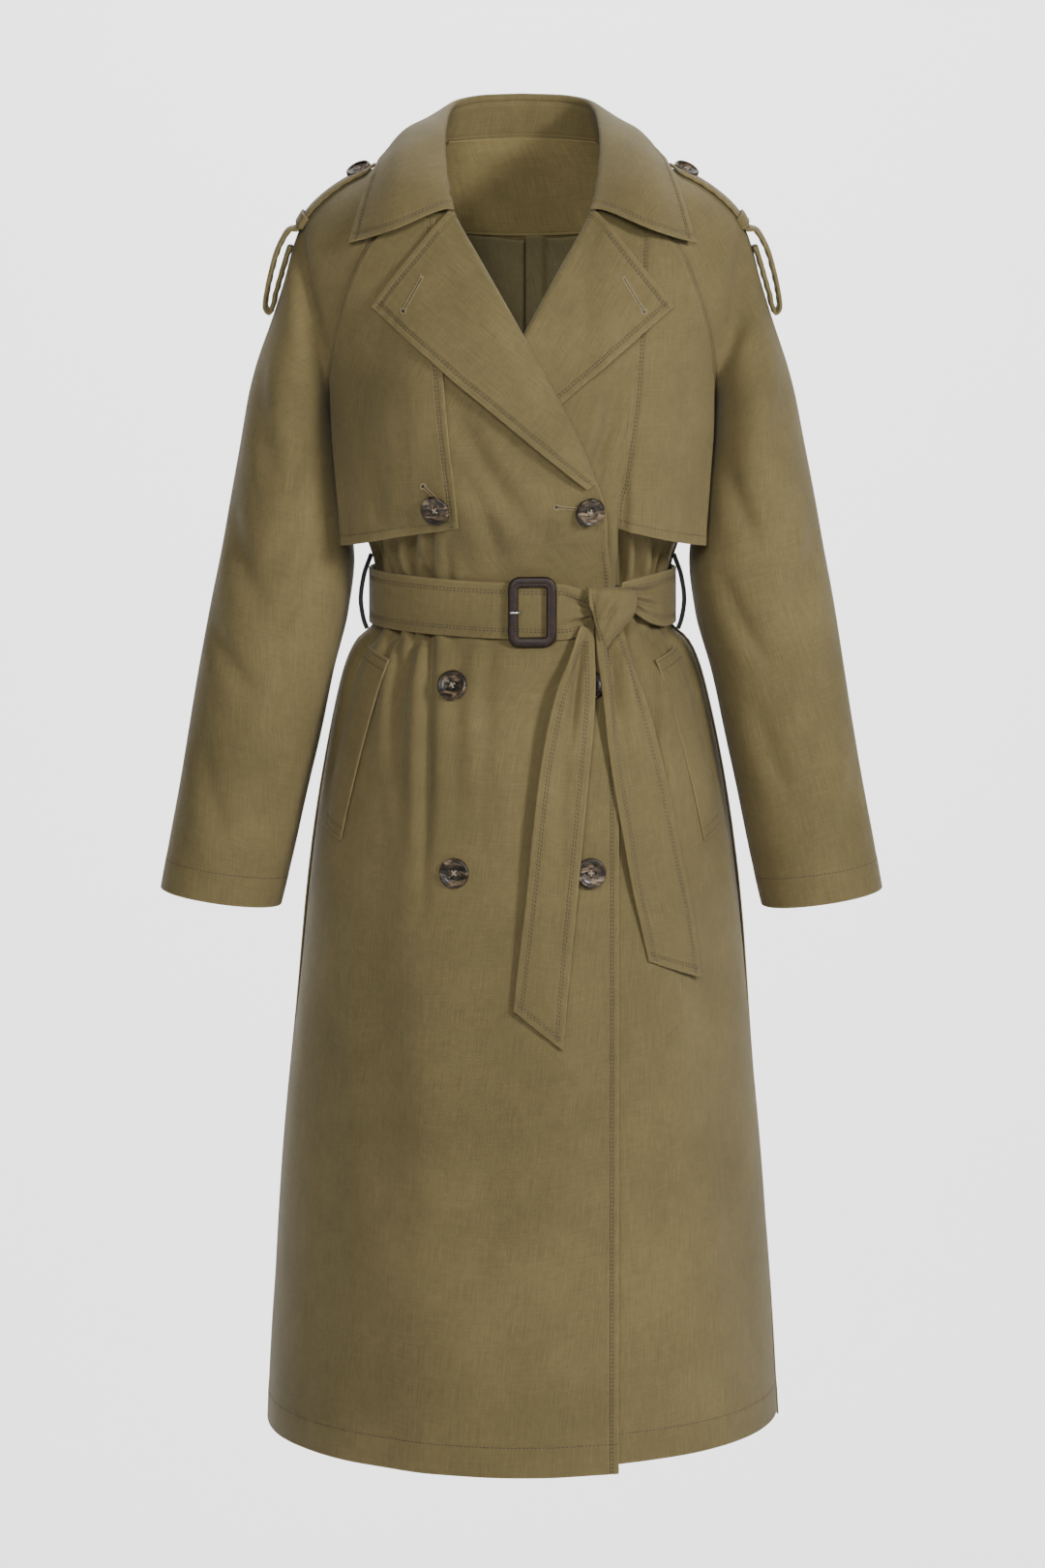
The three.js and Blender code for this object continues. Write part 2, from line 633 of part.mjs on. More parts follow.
// Back neck facing and lining, inside the back: half widths and inner faces by height
const INNER_LIFT = -CLOTH - 1;
const FACING = table("z half", [
  [-3, 47],
  [-14, 50],
  [-26, 60],
  [-45, 74],
  [-65, 81],
  [-78, 85],
]);
const FACING_DIP = 6;
const LINING = table("z half", [
  [-78.6, 84],
  [-110, 92],
  [-150, 98],
  [-200, 104],
  [-250, 108],
  [-296, 106],
]);

function facing() {
  const rows = FACING.map(({ z, half }, i) =>
    spread(11, 1, -1).map((s) => {
      const dip = i === 0 ? NECK_SEAM.backZ / -2 : (-FACING_DIP * i) / (FACING.length - 1);
      return backPoint(s * half, z + dip * Math.cos((s * Math.PI) / 2), INNER_LIFT);
    }),
  );
  return wall(rows, FACING_CLOTH);
}

// The lining's ease pleat stands as a step along the centre back
function lining() {
  const pleat = table("x stand", [
    [-17, 0],
    [-13, 2.4],
    [0, 3],
    [2, 0.6],
    [6, 0],
  ]);
  const rows = LINING.map(({ z, half }) => {
    const plain = (s) => ({ x: s * half, stand: 0 });
    const columns = [plain(-1), plain(-0.7), plain(-0.4), ...pleat, plain(0.4), plain(0.7), plain(1)];
    return columns.reverse().map(({ x, stand }) => {
      const dip = -FACING_DIP * Math.cos((x / half) * (Math.PI / 2)) - SEAM_GAP;
      return backPoint(x, z + dip, INNER_LIFT - stand);
    });
  });
  return wall(rows, LINING_CLOTH);
}

// Belt round the waist over the coat, from the knot round the back and through the buckle to the knot again
const BELT = { half: 131, front: -105.5, back: 101.6 };
const belt = { half: () => BELT.half, front: () => BELT.front, back: () => BELT.back };
const BELT_EDGES = table("angle top bottom", [
  [-320, -368, -384],
  [-314, -366, -392],
  [-302, -364, -404],
  [-290, -363, -408],
  [-180, -363, -408],
  [-70, -363, -408],
  [0, -366, -411],
  [14, -367, -412],
  [22, -372, -409],
  [27, -377, -405],
]);
const BELT_NARROW = [-320, -315, -309, -302, -294];
const BELT_WIDE = { count: 34, from: -286, to: 12 };
const BELT_PINCH = [17, 22, 27];
const beltEdges = curves(BELT_EDGES, "angle");
const beltPoint = (x, z, out) => frontPoint(x, z, out, belt);

function beltBand() {
  const angles = [...BELT_NARROW, ...spread(BELT_WIDE.count, BELT_WIDE.from, BELT_WIDE.to), ...BELT_PINCH];
  const height = (angle, s) => lerp(beltEdges.top(angle), beltEdges.bottom(angle), s);
  const rows = [0, 0.5, 1].map((s) => angles.map((angle) => sectionPoint(height(angle, s), angle, 0, belt)));
  return wall(rows, BELT_CLOTH);
}

// The knot's cloth comes over the band's two ends and tapers down between the tails
const KNOT = table("z left right out droop", [
  [-376, 54, 88, 3.6, 2],
  [-368, 53, 88, 8, 3],
  [-371, 52.5, 89, 14.5, 3],
  [-386, 54, 88, 17.5, 3],
  [-398, 56, 78, 17.5, 2],
  [-408, 58, 68, 16, 1],
  [-414, 59, 66, 13.5, 0.5],
]);

function knot() {
  const rows = KNOT.map(({ z, left, right, out, droop }) =>
    spread(6).map((s) => beltPoint(lerp(left, right, s), z - 4 * s * s, out - droop * (2 * s - 1) ** 2)),
  );
  return wall(rows, BELT_CLOTH);
}

// Belt tails: the ends of each cross line, and how far the outer face stands before the skirt's section
const TAILS = {
  left: table("x1 z1 x2 z2 out", [
    [50, -401, 59, -405, 15],
    [43, -420, 59.5, -422, 15.6],
    [31, -446, 60, -448, 16.4],
    [22, -480, 58, -484, 15],
    [15, -520, 54, -526, 14],
    [9, -570, 49, -577, 13.8],
    [4, -620, 44, -628, 12.5],
    [-2, -670, 39, -680, 10.5],
    [-7, -714.6, 33, -746.6, 9.2],
  ]),
  right: table("x1 z1 x2 z2 out", [
    [61.5, -402, 80, -392, 15],
    [62, -421, 86, -412, 15.6],
    [65, -446, 95, -437, 16],
    [69, -480, 106, -472, 13],
    [75, -520, 116, -512, 11],
    [84, -570, 127, -562, 9],
    [93, -620, 137, -613, 6.8],
    [100, -650, 144, -650, 5.6],
    [106.5, -678.6, 150, -697.7, 4.8],
  ]),
};

function tail(rows) {
  const grid = rows.map(({ x1, z1, x2, z2, out }) =>
    spread(4).map((s) => frontPoint(lerp(x1, x2, s), lerp(z1, z2, s)).add(vec(0, -out, 0))),
  );
  return wall(grid, TAIL_CLOTH);
}

// Slanting pocket welts at the hips: their upper and lower ends, from the outer corner to the inner one
const WELT = {
  top: { outerAngle: 66.6, outerZ: -425, innerAngle: 49.5, innerZ: -434 },
  bottom: { outerAngle: 71, outerZ: -577, innerAngle: 59, innerZ: -586 },
};

function welt(side) {
  const lift = side < 0 ? lapLift : () => 0;
  const grid = spread(11).map((t) =>
    spread(3).map((s) => {
      const degreesOf = (end) => lerp(end.outerAngle, end.innerAngle, s);
      const heightOf = (end) => lerp(end.outerZ, end.innerZ, s);
      const degrees = lerp(degreesOf(WELT.top), degreesOf(WELT.bottom), t);
      const z = lerp(heightOf(WELT.top), heightOf(WELT.bottom), t);
      const x = side * onSection(body, z, degrees).x;
      return sectionPoint(z, side * degrees, lift(x, z) + WELT_LIFT);
    }),
  );
  return wall(side < 0 ? grid : grid.map((row) => row.reverse()), CLOTH);
}

// Round button with a raised rim and a dished middle, standing on a point along its normal
function button(radius, point, normal) {
  const profile = table("share height", [
    [0, 0],
    [0.9, 0],
    [1, 0.4],
    [0.96, 0.9],
    [0.85, 1],
    [0.7, 0.72],
    [0, 0.72],
  ]).map(({ share, height }) => new THREE.Vector2(share * radius, height * BUTTON_HEIGHT));
  const geometry = new THREE.LatheGeometry(profile, BUTTON_SIDES);
  const turn = new THREE.Quaternion().setFromUnitVectors(vec(0, 1, 0), normal);
  geometry.applyQuaternion(turn);
  geometry.translate(...point.addScaledVector(normal, BUTTON_LIFT).toArray());
  return geometry;
}

// Button places on the fronts, with the lift of the cloth that they are sewn to
const BUTTONS = table("name x z lift", [
  ["button_flap_right", -66, -298, FLAP_BUTTON_LIFT],
  ["button_top_left", 52, -300, LAP_CHEST],
  ["button_mid_right", -56.5, -451, LAP_SKIRT],
  ["button_mid_left", 54, -451, LAP_SKIRT],
  ["button_low_right", -55, -603, LAP_SKIRT],
  ["button_low_left", 55, -603, LAP_SKIRT],
]);

// Covered buckle: a rounded frame on the belt, and its prong over the left bar
const BUCKLE = { x: 8, z: -388.5, width: 40.5, height: 59, depth: 5, bar: 8.5, corner: 10, innerCorner: 3 };
const BUCKLE_OUT = 0.5;
const BUCKLE_TURN = 0.85;
const PRONG = table("right out", [
  [-6, 6.6],
  [-1, 6.7],
  [3, 5],
  [5, 1.6],
]);

function roundedOutline(path, width, height, corner) {
  const x = width / 2 - corner;
  const z = height / 2 - corner;
  const quarter = Math.PI / 2;
  path.absarc(x, z, corner, 0, quarter);
  path.absarc(-x, z, corner, quarter, 2 * quarter);
  path.absarc(-x, -z, corner, 2 * quarter, 3 * quarter);
  path.absarc(x, -z, corner, 3 * quarter, 4 * quarter);
  return path;
}

function buckleFrame() {
  const { width, height, depth, bar, corner, innerCorner } = BUCKLE;
  const shape = roundedOutline(new THREE.Shape(), width, height, corner);
  shape.holes.push(roundedOutline(new THREE.Path(), width - 2 * bar, height - 2 * bar, innerCorner));
  const geometry = new THREE.ExtrudeGeometry(shape, { depth, bevelEnabled: false, curveSegments: 3 });
  return geometry.rotateX(Math.PI / 2);
}

// Round cord or wire along points
function rod(points, radius, steps) {
  const section = new THREE.Shape().absarc(0, 0, radius, 0, 2 * Math.PI);
  const extrudePath = new THREE.CatmullRomCurve3(points);
  const curveSegments = ROD_SEGMENTS;
  return new THREE.ExtrudeGeometry(section, { steps, extrudePath, bevelEnabled: false, curveSegments });
}

function bucklePin() {
  const left = -BUCKLE.width / 2 + BUCKLE.bar;
  return rod(PRONG.map(({ right, out }) => vec(left + right, -out, 0)), PRONG_RADIUS, 8);
}

// Cord loops that hold the belt at the side seams
const LOOP_Y = -6;
const LOOP_LINE = table("x z", [
  [128.4, -350],
  [131, -357],
  [134.2, -366],
  [137.6, -388],
  [135.2, -406],
  [132.4, -414],
]);
const beltLoop = (side) => rod(LOOP_LINE.map(({ x, z }) => vec(side * x, LOOP_Y, z)), CORD_RADIUS, 12);

// Materials
const finish = (color, roughness, metalness = 0) =>
  new THREE.MeshStandardMaterial({ color, roughness, metalness });
const gabardine = finish(0x6e6549, 0.85);
const twillLining = finish(0x4a4430, 0.8);
const horn = finish(0x3a2c22, 0.3);
const leather = finish(0x35221a, 0.5);
const steel = finish(0xb8b8b8, 0.3, 1);
const blackCord = finish(0x15140f, 0.9);

const coat = new THREE.Group();
function add(name, geometry, material = gabardine, parent = coat) {
  const mesh = new THREE.Mesh(geometry, material);
  mesh.name = name;
  parent.add(mesh);
  return mesh;
}

add("front_right", rightFront());
add("front_left", leftFront());
add("back", back());
const sleeveGrid = leftSleeveGrid();
add("sleeve_left", wall(sleeveGrid, CLOTH));
add("sleeve_right", wall(mirrored(sleeveGrid), CLOTH));
add("collar_stand", collarStand());
add("collar_fall", collarFall());
add("lapel_right", rightLapel());
add("lapel_left", leftLapel());
add("facing_back_neck", facing());
add("lining_back", lining(), twillLining);
add("flap_right", flap(FLAPS.right));
add("flap_left", flap(FLAPS.left));

const strap = strapGrid();
const keeper = keeperGrid();
const strapButton = onShoulder(STRAP_BUTTON_ROW, 0, STRAP_LIFT);
const strapNormal = onShoulder(STRAP_BUTTON_ROW, 0, STRAP_LIFT + 1).sub(strapButton);
for (const [side, name] of [[1, "left"], [-1, "right"]]) {
  const turn = (grid) => (side > 0 ? grid : mirrored(grid));
  const across = vec(side, 1, 1);
  add("epaulette_" + name, wall(turn(strap), STRAP_CLOTH));
  add("epaulette_keeper_" + name, wall(turn(keeper), CLOTH));
  const place = strapButton.clone().multiply(across);
  const normal = strapNormal.clone().multiply(across);
  add("epaulette_button_" + name, button(STRAP_BUTTON_RADIUS, place, normal), horn);
  add("belt_loop_" + name, beltLoop(side), blackCord);
  add("pocket_welt_" + name, welt(side));
}

for (const { name, x, z, lift } of BUTTONS) {
  const normal = sectionNormal(body, z, angleAt(x, z));
  add(name, button(BUTTON_RADIUS, frontPoint(x, z, lift), normal), horn);
}

add("belt_band", beltBand());
add("belt_knot", knot());
add("belt_tail_left", tail(TAILS.left));
add("belt_tail_right", tail(TAILS.right));

const buckle = new THREE.Group();
const buckleAngle = angleAt(BUCKLE.x, BUCKLE.z, belt);
buckle.position.copy(beltPoint(BUCKLE.x, BUCKLE.z, BUCKLE_OUT));
buckle.rotation.z = degToRad(buckleAngle * BUCKLE_TURN);
add("buckle_frame", buckleFrame(), leather, buckle);
add("buckle_prong", bucklePin(), steel, buckle);
coat.add(buckle);

export default coat;
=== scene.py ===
# A midi raglan trench coat in olive cotton gabardine, double breasted and belted, filled out with no wearer.
# Shapes are worked out in millimetres and go into the scene in metres.
# +Z is up, the front faces -Y, +X is the wearer's left, and the origin is the centre of the neck opening.
import json
import math

import bpy
import numpy as np
from mathutils import Matrix, Vector

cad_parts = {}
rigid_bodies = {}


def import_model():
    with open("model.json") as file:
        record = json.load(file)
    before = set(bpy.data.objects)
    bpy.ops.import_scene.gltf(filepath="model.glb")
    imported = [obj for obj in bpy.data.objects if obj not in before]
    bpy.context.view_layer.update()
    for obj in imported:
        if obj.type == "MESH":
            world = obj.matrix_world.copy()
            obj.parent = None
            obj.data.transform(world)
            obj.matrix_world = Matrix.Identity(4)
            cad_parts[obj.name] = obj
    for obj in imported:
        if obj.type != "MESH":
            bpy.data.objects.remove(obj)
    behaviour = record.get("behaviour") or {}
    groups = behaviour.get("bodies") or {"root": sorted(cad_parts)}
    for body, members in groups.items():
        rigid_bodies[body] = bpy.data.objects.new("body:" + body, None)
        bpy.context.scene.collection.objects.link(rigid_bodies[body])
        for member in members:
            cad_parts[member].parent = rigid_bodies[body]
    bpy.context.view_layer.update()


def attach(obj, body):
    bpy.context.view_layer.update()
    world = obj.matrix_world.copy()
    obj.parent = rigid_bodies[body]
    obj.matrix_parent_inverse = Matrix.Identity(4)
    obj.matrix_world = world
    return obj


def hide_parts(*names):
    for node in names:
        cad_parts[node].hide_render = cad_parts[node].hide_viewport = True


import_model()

MM = 0.001

# Cloth thicknesses
CLOTH = 1.6
COLLAR_CLOTH = 1.8
FACING_CLOTH = 1.2
LINING_CLOTH = 1.0
BELT_CLOTH = 2.6
TAIL_CLOTH = 2.4
STRAP_CLOTH = 3.0

# How far outer faces stand from the front beneath them
LAP_CHEST = 10
LAP_SKIRT = 4.8
FLAP_LIFT = 3.2
FLAP_BUTTON_LIFT = LAP_CHEST + FLAP_LIFT + 0.4
WELT_LIFT = 2.5
BUTTON_LIFT = 0.6

# Stitches: the distance between them, and their size
STITCH_PITCH = 3.3
STITCH = {"length": 2.6, "width": 0.95, "height": 0.36}
EDGE_ROW = 5.0
SECOND_ROW = 7.2
NARROW_ROW = 2.2
HEM_ROW = 25.0

# Distances from an edge at which a grid has a line of points, by the kind of edge
PLAIN_EDGE = [0, 0.9, 2.2, 4]
STITCHED_EDGE = [0, 0.8, 2, 3.4, 4.2, 4.6, 5.0, 5.4, 5.9, 6.4, 6.8, 7.2, 7.6, 8.2, 9.4, 12]
NARROW_EDGE = [0, 0.7, 1.4, 1.8, 2.2, 2.6, 3.2, 4.4]
BELT_EDGE = [0, 0.8, 2, 3.6, 4.6, 5.1, 5.6, 6.1, 6.7, 7.3, 7.8, 8.3, 9.2, 11]
HEMMED_EDGE = [0, 1.2, 3, 8, 14, 20, 23, 24.3, 25.0, 25.8, 27, 30]
WELT_END = [0, 1, 1.7, 2.2, 2.7, 5, 9, 9.5, 10, 10.5, 13]
CELL = 5.5

# Points down and across the grid that each piece is first worked out on. The front's and the back's numbers
# are across, with the rows of the yoke and skirt down. The belt's number is down, and the lining's second
# one is for each of its stretches.
GRID = {
    "yoke": 90,
    "skirt": 320,
    "front": 140,
    "back": 200,
    "sleeve": (300, 150),
    "stand": (14, 160),
    "fall": (90, 220),
    "lapel": (120, 80),
    "flap": (130, 90),
    "strap": (160, 21),
    "keeper": (9, 65),
    "facing": (40, 90),
    "lining": (90, 60),
    "belt": 60,
    "knot": (90, 40),
    "tail": (160, 40),
    "welt": (80, 30),
}
SIDES = ((1, "left"), (-1, "right"))


# Numbers and curves
def table(names, rows):
    """Columns of numbers by name."""
    return dict(zip(names.split(), np.array(rows, float).T))


def crease_table(rows):
    """Creases: where each starts and ends in the front view, its bow, its depth and its width."""
    return table("x0 z0 x1 z1 bow depth width", rows)


def rows_of(columns):
    """The rows of such a table, each as numbers by name."""
    names = list(columns)
    return [dict(zip(names, row)) for row in zip(*columns.values())]


def lerp(a, b, t):
    return a + (b - a) * t


def smoothstep(value, low, high):
    t = np.clip((value - low) / (high - low), 0, 1)
    return t * t * (3 - 2 * t)


def hermite(t, p0, m0, p1, m1):
    t2, t3 = t * t, t * t * t
    return (2 * t3 - 3 * t2 + 1) * p0 + (t3 - 2 * t2 + t) * m0 + (3 * t2 - 2 * t3) * p1 + (t3 - t2) * m1


def curve(x, y):
    """Smooth curve through points, without overshoot between them."""
    order = np.argsort(x)
    x, y = np.asarray(x, float)[order], np.asarray(y, float)[order]
    gap = np.diff(x)
    slope = np.diff(y) / gap
    tangent = np.empty_like(y)
    tangent[0], tangent[-1] = slope[0], slope[-1]
    before, after = slope[:-1], slope[1:]
    turning = before * after > 0
    a, b = 2 * gap[1:] + gap[:-1], gap[1:] + 2 * gap[:-1]
    mean = (a + b) / (a / np.where(turning, before, 1) + b / np.where(turning, after, 1))
    tangent[1:-1] = np.where(turning, mean, 0)

    def at(value):
        value = np.clip(value, x[0], x[-1])
        i = np.clip(np.searchsorted(x, value) - 1, 0, len(gap) - 1)
        return hermite((value - x[i]) / gap[i], y[i], tangent[i] * gap[i], y[i + 1], tangent[i + 1] * gap[i])

    return at


def curves(columns, by):
    return {name: curve(columns[by], column) for name, column in columns.items()}


def point(x, y, z):
    return np.stack(np.broadcast_arrays(x, y, z), -1).astype(float)


def unit(vectors):
    return vectors / np.maximum(np.linalg.norm(vectors, axis=-1, keepdims=True), 1e-9)


def scaled(vectors, amount):
    return vectors * np.asarray(amount, float)[..., None]


def dot(a, b):
    return np.sum(a * b, axis=-1)


# Body sections: half width, and the depths in front of and behind the side line
SIDE_Y = 8
BODY = table("z half front back", [
    [-1106, 222, -186, 178],
    [-1017, 217.5, -181, 173],
    [-879, 207.5, -170, 163],
    [-743, 195, -159, 153],
    [-624, 183, -148, 142],
    [-540, 172, -137, 132],
    [-473, 159, -122, 117],
    [-440, 149.5, -112, 108],
    [-424, 141, -104, 102.5],
    [-411, 126.5, -96.5, 97],
    [-400, 123.5, -94.5, 94.5],
    [-387, 123, -94, 93],
    [-370, 123.5, -95, 94],
    [-357, 126, -98, 96],
    [-320, 139, -116, 103],
    [-291, 147, -127, 109],
    [-235, 160, -133, 117],
    [-197, 170, -131, 120],
    [-156, 182, -122, 118],
    [-104, 186, -103, 108],
    [-60, 178, -81, 92],
    [-20, 125, -58, 75],
    [0, 78, -45, 67],
])

# The storm flaps leave the body at the bust and hang straight
BUST_Z = -197
FLAP_SECTIONS = table("z half front back", [
    [-360, 164, -128, 117],
    [-291, 165.5, -132, 117],
    [-235, 167.5, -133.5, 117],
])
ABOVE_BUST = BODY["z"] >= BUST_Z
FLAP_HANG = {
    name: np.concatenate([FLAP_SECTIONS[name], column[ABOVE_BUST]])
    for name, column in BODY.items()
}

body = curves(BODY, "z")
flap_hang = curves(FLAP_HANG, "z")


def on_section(shape, z, degrees):
    """Point of a section at a height and an angle: 0 is the centre front, 90 the wearer's left side."""
    angle = np.radians(degrees)
    forward = np.cos(angle)
    depth = np.where(forward > 0, SIDE_Y - shape["front"](z), shape["back"](z) - SIDE_Y)
    return point(shape["half"](z) * np.sin(angle), SIDE_Y - depth * forward, z)


def section_normal(shape, z, degrees):
    step = 0.5
    across = on_section(shape, z, degrees + step) - on_section(shape, z, degrees - step)
    up = on_section(shape, z + step, degrees) - on_section(shape, z - step, degrees)
    return unit(np.cross(across, up))


def section_point(z, degrees, out=0, shape=body):
    return on_section(shape, z, degrees) + scaled(section_normal(shape, z, degrees), out)


def angle_at(x, z, shape=body):
    return np.degrees(np.arcsin(np.clip(x / shape["half"](z), -1, 1)))


def front_point(x, z, out=0, shape=body):
    return section_point(z, angle_at(x, z, shape), out, shape)


def back_point(x, z, out=0):
    return section_point(z, 180 - angle_at(x, z), out)


# Troughs that the belt gathers into the cloth, deepest at the peak and gone at top and bottom
FOLDS = table("top peak bottom angle_top angle_bottom depth width", [
    [-300, -358, -392, -41, -43, 7, 8],
    [-318, -358, -392, -53, -55, 5, 6.5],
    [-322, -358, -392, -71, -73, 5, 8],
    [-318, -362, -392, -31, -33, 2.2, 5],
    [-326, -362, -392, -62, -63, 3, 5],
    [-300, -358, -392, 39, 41, 7, 8],
    [-322, -358, -392, 68, 70, 5, 8],
    [-320, -362, -392, 51, 53, 3.4, 6],
    [-326, -362, -392, 60, 61, 2.4, 5],
    [-392, -430, -640, -43, -30, 8, 9],
    [-392, -428, -520, -56, -50, 5, 8],
    [-392, -426, -480, -20, -17, 2, 7],
    [-396, -440, -590, -72, -75, 12, 13],
    [-392, -430, -600, 44, 36, 6, 10],
    [-392, -426, -500, 57, 53, 3, 8],
    [-396, -440, -590, 72, 75, 12, 13],
    [-300, -358, -392, 112, 110, 5, 9],
    [-318, -360, -392, 125, 126, 3, 6],
    [-310, -358, -392, 138, 140, 7, 10],
    [-324, -360, -392, 151, 151, 2.6, 6],
    [-318, -358, -392, 163, 164, 4, 8],
    [-316, -360, -392, 193, 192, 3.4, 7],
    [-310, -358, -392, 220, 219, 7, 10],
    [-322, -360, -392, 233, 234, 3, 6],
    [-300, -358, -392, 246, 248, 5, 9],
    [-392, -432, -620, 140, 148, 8, 11],
    [-392, -430, -560, 116, 112, 7, 11],
    [-392, -430, -540, 168, 172, 5, 10],
    [-392, -426, -500, 190, 189, 3, 8],
    [-392, -432, -620, 218, 210, 8, 11],
    [-392, -430, -560, 242, 246, 7, 11],
])


def fold_depth(z, degrees):
    mm_per_degree = np.radians(body["half"](z))
    total = 0.0
    for fold in rows_of(FOLDS):
        growing = smoothstep(-z, -fold["top"], -fold["peak"])
        rise = growing * (1 - smoothstep(-z, -fold["peak"], -fold["bottom"]))
        share = np.clip((fold["top"] - z) / (fold["top"] - fold["bottom"]), 0, 1)
        middle = lerp(fold["angle_top"], fold["angle_bottom"], share)
        distance = (degrees - middle) * mm_per_degree / fold["width"]
        total = total + fold["depth"] * rise * np.exp(-distance * distance)
    return total


def cloth_point(z, degrees, out=0):
    return section_point(z, degrees, out - fold_depth(z, degrees))


# Front edge and roll line of the right front; the left front mirrors it
BREAK_Z = -298
GORGE_Z = -60
FRONT_EDGE = table("z x", [
    [-1110, 78.5],
    [-600, 78],
    [-420, 76],
    [-374, 73],
    [-330, 68],
    [BREAK_Z, 64],
    [-277, 57],
    [-253, 48],
    [-211, 28],
    [-160, 0],
    [-103, -32],
    [GORGE_Z, -57],
])
front_edge = curve(FRONT_EDGE["z"], FRONT_EDGE["x"])

# Raglan seams from neck to underarm, one row for each sleeve section that ends on them
RAGLAN = table("row front_z front_angle back_z back_angle", [
    [0, -14, 42, -4, 133.4],
    [1, -40, 35.5, -25, 146],
    [2, -66, 37.3, -50, 143.5],
    [3, -90, 43.3, -78, 138],
    [4, -114, 48.3, -105, 132.5],
    [5, -138, 53, -132, 127.5],
    [6, -163, 58, -160, 122.5],
    [7, -188, 65.5, -187, 115.5],
    [8, -212, 76.5, -212, 105],
    [9, -229, 86.5, -229, 94],
    [10, -235, 90, -235, 90],
])
UNDERARM_ROW = 10
UNDERARM_Z = -235
FRONT_TOP_Z = -14
BACK_TOP_Z = -4
HEM_Z = -1106
LEFT_HEM_Z = -1099
raglan = curves(RAGLAN, "row")
front_seam_angle = curve(RAGLAN["front_z"], RAGLAN["front_angle"])
back_seam_angle = curve(RAGLAN["back_z"], RAGLAN["back_angle"])

# The right front's extra lift where it covers the left front
LAP_WAIST = (-340, -300)
LAP_SIDE = (-125, -75)
LAP_TOP = (80, 160)


def lap_lift(x, z):
    lift = lerp(LAP_SKIRT, LAP_CHEST, smoothstep(z, *LAP_WAIST))
    return lift * smoothstep(x, *LAP_SIDE) * smoothstep(-z, *LAP_TOP)


def no_lift(x, z):
    return 0 * x


# Grids of points: rows run down and columns run to the wearer's left across the front
def mirrored(points):
    return (points * [-1, 1, 1])[:, ::-1]


def along_rows(points):
    """Distance of each point from the start of its row."""
    steps = np.linalg.norm(np.diff(points, axis=1), axis=-1)
    return np.concatenate([np.zeros((len(points), 1)), np.cumsum(steps, axis=1)], axis=1)


def turned(points):
    return np.swapaxes(points, 0, 1)


def spaced_rows(points, start, end, cell=CELL):
    """The same surface with columns at set distances from both ends of each row, and even between."""
    length = along_rows(points)
    middle = max(2, int(round(np.median(length[:, -1]) / cell)))
    start, end = np.asarray(start, float), np.asarray(end, float)[::-1]
    result = []
    for row, at in zip(points, length):
        total = at[-1]
        shrink = min(1, 0.8 * total / (start[-1] + end[0] + 1e-9))
        first, last = start * shrink, total - end * shrink
        targets = np.concatenate([first[:-1], np.linspace(first[-1], last[0], middle), last[1:]])
        result.append(np.stack([np.interp(targets, at, row[:, axis]) for axis in range(3)], -1))
    return np.array(result)


def spaced(points, left, right, top, bottom, cell=CELL, drop=None):
    """Both ways: cell is the middle's spacing across, and drop is the one downward."""
    across = spaced_rows(points, left, right, cell)
    return turned(spaced_rows(turned(across), top, bottom, drop or cell))


def edge_distances(points):
    across = along_rows(points)
    down = along_rows(turned(points)).T
    return {
        "left": across,
        "right": across[:, -1:] - across,
        "top": down,
        "bottom": down[-1:] - down,
    }


def tangents(points):
    """Unit direction along each column, from both neighbours."""
    steps = unit(np.diff(points, axis=0))
    return unit(np.concatenate([steps[:1], steps[:-1] + steps[1:], steps[-1:]]))


def normals_of(points):
    down = tangents(points)
    across = turned(tangents(turned(points)))
    return unit(np.cross(down, across))


def pushed(points, out):
    return points + scaled(normals_of(points), out)


# The soft ridge beside a crease: its height in depths of the trough, its place and width in widths of it
RIDGE = {"size": 0.45, "away": 2.1, "width": 1.3}


def creased(points, creases, facing=-1):
    """Sinks troughs along lines drawn in the front view, each with a soft ridge beside it."""
    normals = normals_of(points)
    x, z = points[..., 0], points[..., 2]
    out = np.zeros(x.shape)
    for crease in rows_of(creases):
        run_x, run_z = crease["x1"] - crease["x0"], crease["z1"] - crease["z0"]
        length = math.hypot(run_x, run_z)
        from_x, from_z = x - crease["x0"], z - crease["z0"]
        t = (from_x * run_x + from_z * run_z) / length**2
        bend = crease["bow"] * 4 * np.clip(t, 0, 1) * (1 - np.clip(t, 0, 1))
        distance = ((from_x * run_z - from_z * run_x) / length - bend) / crease["width"]
        taper = smoothstep(t, -0.1, 0.3) * (1 - smoothstep(t, 0.6, 1.1))
        ridge = RIDGE["size"] * np.exp(-(((distance - RIDGE["away"]) / RIDGE["width"]) ** 2))
        trough = np.exp(-(distance**2)) - ridge
        out -= crease["depth"] * taper * trough
    return points + scaled(normals, out * smoothstep(facing * normals[..., 1], 0.05, 0.45))


CHANNEL_WIDTH = 0.75
DOUBLED_END = (0.6, 3)


def relief(distance, rows, ridge=0.5, sink=0.8):
    """Height of a stitched edge: doubled cloth up to the last row, and a small channel under each row."""
    height = ridge * (1 - smoothstep(distance - rows[-1], *DOUBLED_END))
    for row in rows:
        height = height - sink * np.exp(-(((distance - row) / CHANNEL_WIDTH) ** 2))
    return height


def hemmed(distance):
    """Height of a turned hem and its one row of stitches."""
    return relief(distance["bottom"], (HEM_ROW,), 0.3, 0.35)


def hem_puckers(distance):
    return puckers(abs(distance["bottom"] - HEM_ROW), distance["left"], 7, 0.2, 13)


def puckers(distance, along, reach=11, size=0.3, pitch=11.0):
    """Small uneven gathers that a line of stitches pulls into the edge."""
    wave = np.sin(2 * math.pi * along / pitch + 1.7 * np.sin(along / 23.0) + 0.9 * np.sin(along / 7.9))
    return size * wave * np.exp(-((distance / reach) ** 2))


